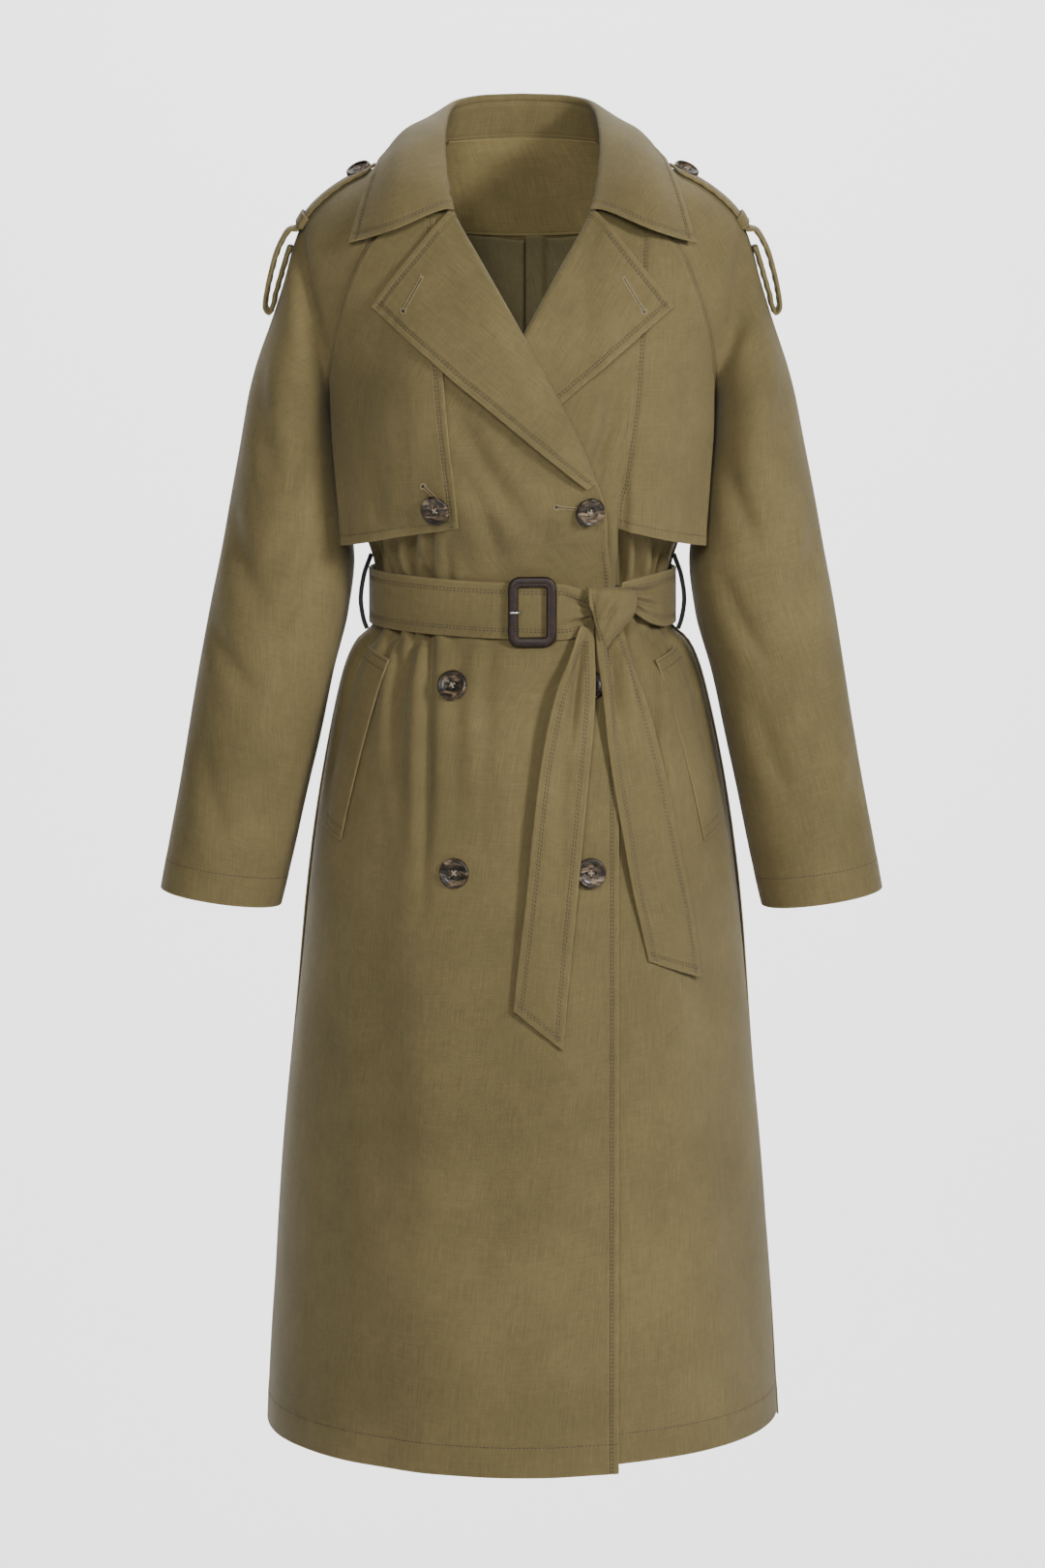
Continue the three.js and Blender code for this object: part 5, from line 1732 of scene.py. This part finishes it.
def build_tail(name, rows, seed):
    down, across = GRID["tail"]
    s = np.linspace(0, 1, across)
    knots = np.array([
        front_point(lerp(row["x1"], row["x2"], s), lerp(row["z1"], row["z2"], s)) - [0, row["out"], 0]
        for row in rows_of(rows)
    ])
    points = catmull(knots, np.linspace(0, 1, down))
    points = spaced(points, BELT_EDGE, BELT_EDGE, PLAIN_EDGE, BELT_EDGE, 2.4)
    points = creased(points, TAIL_CREASES[name])
    distance = edge_distances(points)
    near = np.minimum.reduce([distance["left"], distance["right"], distance["bottom"]])
    out = relief(near, BELT_ROWS, 0.0, 0.3) + puckers(near, distance["top"], 5, 0.14)
    out = out + soft_waves(points, 0.7, seed) * smoothstep(distance["top"], 20, 80)
    points = pushed(points, out)
    thread = threads(name)
    for row in BELT_ROWS:
        for side in ("left", "right"):
            thread.edge(points, side, row, start=0.04, stop=0.99)
        thread.edge(points, "bottom", row, start=0.05, stop=0.95)
    cloth(name, points, TAIL_CLOTH, belt_cloth, "hung", thread=thread)


for i, (name, rows) in enumerate(TAILS.items()):
    build_tail(name, rows, 73 + i)

# Slanting pocket welts at the hips: their upper and lower ends, from the outer corner to the inner one
WELT = {
    "top": {"outer_angle": 66.6, "outer_z": -425, "inner_angle": 49.5, "inner_z": -434},
    "bottom": {"outer_angle": 71, "outer_z": -577, "inner_angle": 59, "inner_z": -586},
}
WELT_SINK = 1.0
WELT_OUTER_SINK = 1.4
WELT_END_ROWS = (2.2, 10)


def build_welt(name, side):
    lift = lap_lift if side < 0 else no_lift
    down, across = GRID["welt"]
    t, s = np.linspace(0, 1, down)[:, None], np.linspace(0, 1, across)[None, :]

    def along(key):
        ends = (lerp(WELT[end]["outer_" + key], WELT[end]["inner_" + key], s) for end in ("top", "bottom"))
        return lerp(*ends, t)

    degrees, z = along("angle"), along("z")
    x = side * on_section(body, z, degrees)[..., 0]
    points = section_point(z, side * degrees, lift(x, z) + WELT_LIFT)
    points = points if side < 0 else points[:, ::-1]
    points = spaced(points, STITCHED_EDGE, NARROW_EDGE, WELT_END, WELT_END, 3)
    distance = edge_distances(points)
    outer = "left" if side < 0 else "right"
    ends = np.minimum(distance["top"], distance["bottom"])
    out = relief(ends, WELT_END_ROWS, 0.0, 0.28) + puckers(ends, distance["left"], 8, 0.1)
    out = out - WELT_SINK - WELT_OUTER_SINK * (1 - smoothstep(distance[outer], 2, 16))
    points = pushed(points, out)
    thread = threads(name)
    for edge in ("top", "bottom"):
        for row in WELT_END_ROWS:
            thread.edge(points, edge, row)
    cloth(name, points, CLOTH, gabardine, "laid", thread=thread)


for side, name in SIDES:
    build_welt("pocket_welt_" + name, side)


# Hard pieces
def place(obj, node, slot, position=None, normal=None):
    """Stands a piece, built round its own origin with its face along +Z, on a point of the coat."""
    if position is not None:
        up = Vector((0, 0, 1)) if abs(normal[2]) < 0.95 else Vector((0, -1, 0))
        z_axis = Vector(normal).normalized()
        x_axis = up.cross(z_axis).normalized()
        y_axis = z_axis.cross(x_axis)
        turn = Matrix((x_axis, y_axis, z_axis)).transposed().to_4x4()
        obj.data.transform(Matrix.Translation(Vector(position) * MM) @ turn)
    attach(obj, "root")
    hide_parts(node)
    return obj


BUTTON_RADIUS = 12.7
STRAP_BUTTON_RADIUS = 11
STRAP_BUTTON_TURN = 15
STRAP_BUTTON_LEAN = np.array([0.0, -0.42, 0.0])
STRAP_BUTTON_LIFT = 1.8
STRAP_BUTTON_SHIFT = np.array([-2.0, -2.0, -1.8])
BUTTON_HEIGHT = 4
BUTTON_SIDES = 56
BUTTON_PROFILE = table("share height", [
    [0, 0.02],
    [0.82, 0],
    [0.93, 0.1],
    [0.99, 0.32],
    [1, 0.5],
    [0.985, 0.72],
    [0.94, 0.92],
    [0.88, 1.0],
    [0.81, 0.95],
    [0.74, 0.78],
    [0.66, 0.66],
    [0.45, 0.6],
    [0, 0.6],
])
HOLE_RADIUS = 1.15
HOLE_OFFSET = 2.1
DRILL = table("share height", [[0, -2], [1, -2], [1, 8], [0, 8]])
DRILL_SIDES = 20
# The thread of a button: how far each line stands from the middle, its arch from hole to hole, and its size
SEWN = {"aside": 0.28, "sink": 0.6, "rise": 1.25, "round": 0.6, "radius": 0.34, "sides": 8, "points": 15}


def revolved(name, radii, heights, sides, material):
    angles = np.linspace(0, 2 * math.pi, sides, endpoint=False)
    inner = slice(1, -1)
    reach = radii[inner, None]
    rings = point(reach * np.cos(angles), reach * np.sin(angles), heights[inner, None] + 0 * angles)
    count = len(rings) * sides
    index = np.arange(count).reshape(len(rings), sides)
    after = np.roll(index, -1, axis=1)
    faces = quads(index[:-1], after[:-1], after[1:], index[1:])
    faces += [(count, int(b), int(a)) for a, b in zip(index[0], after[0])]
    faces += [(count + 1, int(a), int(b)) for a, b in zip(index[-1], after[-1])]
    ends = [[0, 0, heights[0]], [0, 0, heights[-1]]]
    return mesh_object(name, np.concatenate([rings.reshape(-1, 3), ends]), faces, material)


# Strands on each side of a braid, and how fast they turn along it
BRAID = {"strands": 3, "turn": 2.2}


def rod_mesh(name, path, radius, sides, material, braid=0.0):
    """Round cord or wire along points."""
    path = np.asarray(path, float)
    forward = unit(np.gradient(path, axis=0))
    side = unit(np.cross(forward, [0.31, 0.9, 0.29]))
    up = np.cross(side, forward)
    around = np.linspace(0, 2 * math.pi, sides, endpoint=False)
    run = np.concatenate([[0], np.cumsum(np.linalg.norm(np.diff(path, axis=0), axis=-1))])[:, None]
    strands, turns = around * BRAID["strands"], run * BRAID["turn"]
    wave = np.abs(np.sin(strands + turns)) + np.abs(np.sin(strands - turns))
    reach = radius * (1 + braid * (wave / 2 - 0.5))
    ring = side[:, None] * np.cos(around)[None, :, None] + up[:, None] * np.sin(around)[None, :, None]
    points = path[:, None] + scaled(ring, reach)
    rows = len(path)
    index = np.arange(rows * sides).reshape(rows, sides)
    after = np.roll(index, -1, axis=1)
    faces = quads(index[:-1], after[:-1], after[1:], index[1:])
    faces += [tuple(int(v) for v in index[0][::-1]), tuple(int(v) for v in index[-1])]
    return mesh_object(name, points.reshape(-1, 3), faces, material)


def joined(name, objects):
    """Several meshes as one object that keeps their materials."""
    for obj in bpy.context.selected_objects:
        obj.select_set(False)
    for obj in objects:
        obj.select_set(True)
    bpy.context.view_layer.objects.active = objects[0]
    bpy.ops.object.join()
    objects[0].name = name
    return objects[0]


def button_mesh(name, radius, finish):
    """Four-hole button, its rim raised round a dished middle, sewn on with two crossing threads."""
    profile = BUTTON_PROFILE["share"] * radius, BUTTON_PROFILE["height"] * BUTTON_HEIGHT
    disc = revolved(name, *profile, BUTTON_SIDES, finish)
    offset, hole = HOLE_OFFSET * radius / BUTTON_RADIUS, HOLE_RADIUS * radius / BUTTON_RADIUS
    corners = [(x * offset, y * offset) for x in (-1, 1) for y in (-1, 1)]
    drills = []
    for x, y in corners:
        drill = revolved("drill", DRILL["share"] * hole, DRILL["height"], DRILL_SIDES, finish)
        drill.data.transform(Matrix.Translation((x * MM, y * MM, 0)))
        drills.append(drill)
    drill = joined("drills", drills)
    cut = disc.modifiers.new("holes", "BOOLEAN")
    cut.object, cut.solver = drill, "EXACT"
    bpy.context.view_layer.update()
    drilled = bpy.data.meshes.new_from_object(disc.evaluated_get(bpy.context.evaluated_depsgraph_get()))
    disc.modifiers.clear()
    disc.data = drilled
    drilled.polygons.foreach_set("use_smooth", np.ones(len(drilled.polygons), bool))
    bpy.data.objects.remove(drill)

    level = BUTTON_PROFILE["height"][-1] * BUTTON_HEIGHT
    t = np.linspace(0, 1, SEWN["points"])
    arch = level - SEWN["sink"] + SEWN["rise"] * np.sin(math.pi * t) ** SEWN["round"]
    stitches = []
    for (x0, y0), (x1, y1) in ((corners[0], corners[3]), (corners[1], corners[2])):
        slant = np.sign(x1 - x0) * np.sign(y1 - y0)
        for shift in (-SEWN["aside"], SEWN["aside"]):
            path = point(lerp(x0, x1, t) + shift, lerp(y0, y1, t) - shift * slant, arch)
            stitches.append(rod_mesh("stitch", path, SEWN["radius"], SEWN["sides"], button_thread))
    return joined(name, [disc, *stitches])


# Front buttons: their places in the front view, how far they stand from the coat, and their turns in degrees
BUTTONS = (
    ("button_flap_right", -66, -298, FLAP_BUTTON_LIFT, 8),
    ("button_top_left", 52, -300, LAP_CHEST, 32),
    ("button_mid_right", -56.5, -451, LAP_SKIRT, -14),
    ("button_mid_left", 54, -451, LAP_SKIRT, 21),
    ("button_low_right", -55, -603, LAP_SKIRT, 4),
    ("button_low_left", 55, -603, LAP_SKIRT, 40),
)


def turned_mesh(obj, degrees):
    obj.data.transform(Matrix.Rotation(math.radians(degrees), 4, "Z"))
    return obj


def build_buttons():
    for name, x, z, lift, turn in BUTTONS:
        normal = section_normal(body, np.array(z), angle_at(x, z))
        position = front_point(x, z, lift) + normal * BUTTON_LIFT
        button = turned_mesh(button_mesh(name + "_horn", BUTTON_RADIUS, horn), turn)
        place(button, name, "horn", position, normal)
    for side, name in SIDES:
        position = on_shoulder(STRAP_BUTTON_ROW, 0, STRAP_LIFT)
        normal = on_shoulder(STRAP_BUTTON_ROW, 0, STRAP_LIFT + 1) - position
        normal = unit(normal + STRAP_BUTTON_LEAN)
        position = (position + normal * STRAP_BUTTON_LIFT + STRAP_BUTTON_SHIFT) * [side, 1, 1]
        normal = normal * [side, 1, 1]
        node = "epaulette_button_" + name
        button = turned_mesh(button_mesh(node + "_horn", STRAP_BUTTON_RADIUS, strap_horn), STRAP_BUTTON_TURN)
        place(button, node, "horn", position, normal)


build_buttons()

# Covered buckle: a rounded frame on the belt, and its prong over the left bar
BUCKLE = {"x": 8, "z": -388.5, "width": 40.5, "height": 59, "depth": 5, "bar": 8.5, "corner": 10}
BUCKLE_OUT = 0.5
BUCKLE_TURN = 0.85
BUCKLE_SEAM = {"across": -0.5, "out": 0.9}
BUCKLE_STITCH = {"length": 1.7, "width": 0.6, "height": 0.4}
BUCKLE_PITCH = 2.3
PRONG_RADIUS = 1.2
PRONG_SIDES = 16
PRONG = table("right out", [
    [-6.5, 4.9],
    [-6, 6.4],
    [-4, 6.8],
    [-1.6, 6.4],
    [0.4, 5],
    [1.8, 2.4],
])


def rounded_rectangle(width, height, corner, steps=10):
    """Points round a rectangle with round corners, anticlockwise from the right."""
    x, z = width / 2 - corner, height / 2 - corner
    corners = ((x, z, 0), (-x, z, 90), (-x, -z, 180), (x, -z, 270))
    points = []
    for cx, cz, start in corners:
        for degrees in np.linspace(start, start + 90, steps):
            angle = math.radians(degrees)
            points.append((cx + corner * math.cos(angle), cz + corner * math.sin(angle)))
    dense = []
    for (x0, z0), (x1, z1) in zip(points, points[1:] + points[:1]):
        pieces = max(1, int(math.hypot(x1 - x0, z1 - z0) / 1.5))
        dense += [(lerp(x0, x1, k / pieces), lerp(z0, z1, k / pieces)) for k in range(pieces)]
    return np.array(dense)


# Section of the covered frame: across its bar from the inner to the outer edge, and out from the belt
BAR_SECTION = table("across out", [
    [-1, 0.25],
    [-1, 0.6],
    [-0.88, 0.86],
    [-0.66, 0.98],
    [-0.5, 0.88],
    [-0.34, 0.98],
    [0.1, 1.0],
    [0.55, 0.97],
    [0.86, 0.82],
    [1, 0.55],
    [1, 0.22],
    [0.8, 0.02],
    [-0.8, 0.02],
])


def buckle_frame():
    bar, corner = BUCKLE["bar"], BUCKLE["corner"] - BUCKLE["bar"] / 2
    line = rounded_rectangle(BUCKLE["width"] - bar, BUCKLE["height"] - bar, corner)
    path = point(line[:, 0], 0, line[:, 1])
    forward = unit(np.roll(path, -1, axis=0) - np.roll(path, 1, axis=0))
    outward = np.cross([0.0, -1.0, 0.0], forward)
    outward = scaled(outward, np.sign(dot(outward, path)))
    across, out = BAR_SECTION["across"] * bar / 2, BAR_SECTION["out"] * BUCKLE["depth"]
    points = path[:, None] + outward[:, None] * across[None, :, None] + point(0, -out, 0)[None]
    rows, sides = points.shape[:2]
    index = np.arange(rows * sides).reshape(rows, sides)
    after, below = np.roll(index, -1, axis=1), np.roll(index, -1, axis=0)
    faces = quads(index, below, np.roll(after, -1, axis=0), after)
    frame_piece = mesh_object("buckle_leather", points.reshape(-1, 3), faces, leather)
    smooth = frame_piece.modifiers.new("round", "SUBSURF")
    smooth.levels = smooth.render_levels = 1
    thread = Thread("buckle_stitching", leather_thread)
    seam = path + outward * (BUCKLE_SEAM["across"] * bar / 2) + [0, -BUCKLE_SEAM["out"] * BUCKLE["depth"], 0]
    seam = np.concatenate([seam, seam[:1]])
    thread.line(seam, np.tile([0.0, -1.0, 0.0], (len(seam), 1)), BUCKLE_PITCH, BUCKLE_STITCH)
    stitching = thread.finish(frame_piece)
    return frame_piece


def build_buckle():
    angle = math.radians(float(angle_at(BUCKLE["x"], BUCKLE["z"], BELT)) * BUCKLE_TURN)
    seat = belt_point(BUCKLE["x"], BUCKLE["z"], BUCKLE_OUT)
    move = Matrix.Translation(Vector(seat) * MM) @ Matrix.Rotation(angle, 4, "Z")
    frame_piece = buckle_frame()
    left = -BUCKLE["width"] / 2 + BUCKLE["bar"]
    knots = point(left + PRONG["right"], -PRONG["out"], 0)
    wire = catmull(knots, np.linspace(0, 1, 40))
    prong = rod_mesh("prong_wire", wire, PRONG_RADIUS, PRONG_SIDES, steel)
    for piece, node, slot in ((frame_piece, "buckle_frame", "leather"), (prong, "buckle_prong", "metal")):
        piece.data.transform(move)
        for child in piece.children:
            child.data.transform(move)
        place(piece, node, slot)


build_buckle()

# Cord loops that hold the belt at the side seams
CORD_RADIUS = 1.8
CORD_SIDES = 24
CORD_BRAID = 0.35
LOOP_Y = -6
LOOP_LINE = table("x z", [
    [128.4, -350],
    [131, -357],
    [134.2, -366],
    [137.6, -388],
    [135.2, -406],
    [132.4, -414],
])
for side, name in SIDES:
    line = catmull(point(side * LOOP_LINE["x"], LOOP_Y, LOOP_LINE["z"]), np.linspace(0, 1, 150))
    node = "belt_loop_" + name
    place(rod_mesh(node + "_cord", line, CORD_RADIUS, CORD_SIDES, cord_black, CORD_BRAID), node, "cord")

# Keyhole buttonholes: a slit from a round eyelet, worked round with thread and closed by a bar. The slit is
# a near-black sheet on the cloth, a painted shade for its opening.
BUTTONHOLE_THREAD = {"length": 1.9, "width": 0.55, "height": 0.4}
BUTTONHOLE_PITCH = 0.72
EYELET_RADIUS = 1.6
EYELET_LOOPS = 1.4
SLIT_HALF = 0.22
SLIT_LIFT = 0.22
SLIT_POINTS = 30
LOOP_HALF = 0.95
LOOP_LIFT = 0.25
LOOP_AWAY = 0.75
BAR_HALF = 1.6


def surface_path(points, start, end):
    """Function for the cloth's point and normal, some way from start towards end and beside that line."""
    normals = normals_of(points)
    start, end = np.array(start, float), np.array(end, float)
    run = unit(end - start)
    beside = np.array([-run[1], run[0]])
    seen = normals[..., 1] < -0.2

    def at(along, across):
        x, z = start + run * along + beside * across
        away = (points[..., 0] - x) ** 2 + (points[..., 2] - z) ** 2 + np.where(seen, 0, 1e6)
        i = np.unravel_index(np.argmin(away), away.shape)
        near, normal = points[i], normals[i]
        y = near[1] - ((x - near[0]) * normal[0] + (z - near[2]) * normal[2]) / normal[1]
        return np.array([x, y, z]), normal

    return at, float(np.linalg.norm(end - start))


def build_buttonhole(name, points, eyelet, end):
    at, length = surface_path(points, eyelet, end)

    def on_cloth(spots, lift):
        found = [at(*spot) for spot in spots]
        lifted = np.array([near + normal * lift for near, normal in found])
        return lifted, np.array([found[0][1]] * len(found))

    turn = np.radians(np.linspace(60, 300, 22))
    eye = np.stack([EYELET_RADIUS * np.cos(turn), EYELET_RADIUS * np.sin(turn)], -1)
    straight = np.linspace(EYELET_RADIUS * 0.6, length, SLIT_POINTS)
    upper = np.stack([straight, np.full(SLIT_POINTS, SLIT_HALF)], -1)
    outline = np.concatenate([upper[::-1], eye, upper * [1, -1]])
    middle = np.stack([outline[:, 0], 0 * outline[:, 1]], -1)
    rim, core = on_cloth(outline, SLIT_LIFT)[0], on_cloth(middle, SLIT_LIFT)[0]
    count = len(outline)
    faces = [(k, k + 1, count + k + 1, count + k) for k in range(count - 1)]
    # Painted shade: a near-black sheet laid just over the cloth along the slit
    dark = mesh_object(name + "_slit", np.concatenate([rim, core]), faces, slit_painted_shade)
    away = [0, LOOP_AWAY]
    ring = np.concatenate([upper[::-1] + away, eye * EYELET_LOOPS, upper * [1, -1] - away])
    bar = np.stack([np.full(5, length + 0.6), np.linspace(-BAR_HALF, BAR_HALF, 5)], -1)
    thread = Thread(name + "_thread", pale_thread)
    for line in (ring, bar):
        steps = np.linalg.norm(np.diff(line, axis=0), axis=-1)
        run_at = np.concatenate([[0], np.cumsum(steps)])
        for where in np.arange(0.3, run_at[-1], BUTTONHOLE_PITCH):
            centre = np.array([np.interp(where, run_at, line[:, k]) for k in (0, 1)])
            ahead = np.array([np.interp(where + 0.2, run_at, line[:, k]) for k in (0, 1)])
            run = unit(ahead - centre)
            across = np.array([-run[1], run[0]]) * LOOP_HALF
            path, normals = on_cloth([centre - across, centre + across], LOOP_LIFT)
            thread.line(path, normals, pitch=1.2, size=BUTTONHOLE_THREAD)
    loops = mesh_object("loops", np.concatenate(thread.points), thread.faces, pale_thread)
    hole = joined(name, [dark, loops])
    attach(hole, "root")


front_shape = front_grid(-1, lap_lift, HEM_Z)
# Each buttonhole: the cloth it is worked on, and the places of its eyelet and its far end in the front view
BUTTONHOLES = (
    ("buttonhole_lapel_right", lapel_right_points, (-98, -139), (-83, -112)),
    ("buttonhole_lapel_left", lapel_left_points, (100, -140), (83, -112)),
    ("buttonhole_flap_right", flap_points["flap_right"], (-82, -283), (-70, -294)),
    ("buttonhole_top", front_shape, (28, -299), (44, -301)),
    ("buttonhole_mid", front_shape, (30, -451), (46, -451)),
    ("buttonhole_low", front_shape, (31, -603), (47, -603)),
)
for name, points, eyelet, end in BUTTONHOLES:
    build_buttonhole(name, points, eyelet, end)

# Camera at the photograph's angle
CAMERA = {"y": -4.2, "z": 0.07, "pitch_down": 8.38, "lens": 113.8}
camera_data = bpy.data.cameras.new("camera")
camera_data.lens = CAMERA["lens"]
camera_data.sensor_width = 36
camera_data.sensor_fit = "AUTO"
camera_data.clip_end = 100
camera = bpy.data.objects.new("camera", camera_data)
camera.location = (0, CAMERA["y"], CAMERA["z"])
camera.rotation_euler = (math.radians(90 - CAMERA["pitch_down"]), 0, 0)
bpy.context.scene.collection.objects.link(camera)
bpy.context.scene.camera = camera


# Studio: a pale floor that curves up behind, soft lights and a surround
def paper_material():
    noise = {"Scale": 1.2, "Detail": 2.0}
    shades = [(0.3, (0.875, 0.875, 0.87)), (0.7, (0.885, 0.885, 0.88))]
    return noise_material("studio_paper", noise, shades, sockets={"Roughness": 0.9})


FLOOR_Z = -2400.0
BACKDROP_Y = 7600.0
SWEEP_RADIUS = 3600.0
SWEEP_STEPS = 24
BACKDROP_TOP = 6000.0
STUDIO_HALF = 9000.0


def build_studio():
    turn = np.radians(np.linspace(0, 90, SWEEP_STEPS))
    sweep_y = BACKDROP_Y - SWEEP_RADIUS + SWEEP_RADIUS * np.sin(turn)
    sweep_z = FLOOR_Z + SWEEP_RADIUS * (1 - np.cos(turn))
    y = np.concatenate([[-STUDIO_HALF], sweep_y, [BACKDROP_Y]])
    z = np.concatenate([[FLOOR_Z], sweep_z, [BACKDROP_TOP]])
    x = np.array([-STUDIO_HALF, STUDIO_HALF])[None, :]
    points = point(x, y[:, None], z[:, None])
    index = np.arange(points.shape[0] * 2).reshape(-1, 2)
    faces = quads(index[:-1, 0], index[:-1, 1], index[1:, 1], index[1:, 0])
    floor = mesh_object("studio_floor", points.reshape(-1, 3), faces, paper_material())


def area_light(name, location, target, size, power):
    data = bpy.data.lights.new(name, "AREA")
    data.shape, data.size, data.energy = "SQUARE", size, power
    light = bpy.data.objects.new(name, data)
    light.location = location
    light.visible_camera = False
    light.rotation_euler = (Vector(target) - Vector(location)).to_track_quat("-Z", "Y").to_euler()
    bpy.context.scene.collection.objects.link(light)


build_studio()
# Lights: name, place and aim in metres, size in metres and power in watts
AIM = (0, 0, -0.2)
LIGHTS = (
    ("key", (2.65, -2.65, 1.0), AIM, 0.7, 141),
    ("front", (-0.3, -2.7, 0.75), AIM, 0.8, 51),
    ("backdrop", (0, 3.6, 4.4), (0, 7.6, -1.6), 4.0, 1235),
)
for light in LIGHTS:
    area_light(*light)


def build_surround():
    """Even light from all round, weaker from overhead."""
    world = bpy.data.worlds.new("studio_surround")
    world.use_nodes = True
    tree = world.node_tree
    background = tree.nodes["Background"]
    background.inputs["Color"].default_value = (1, 1, 1, 1)
    direction = add(tree, "TexCoord")
    parts = add(tree, "SeparateXYZ")
    height = add(tree, "MapRange", {"From Min": -0.05, "From Max": 0.6, "To Min": 0.56, "To Max": 0.06})
    join(
        tree,
        (direction, "Generated", parts, "Vector"),
        (parts, "Z", height, "Value"),
        (height, "Result", background, "Strength"),
    )
    bpy.context.scene.world = world


build_surround()
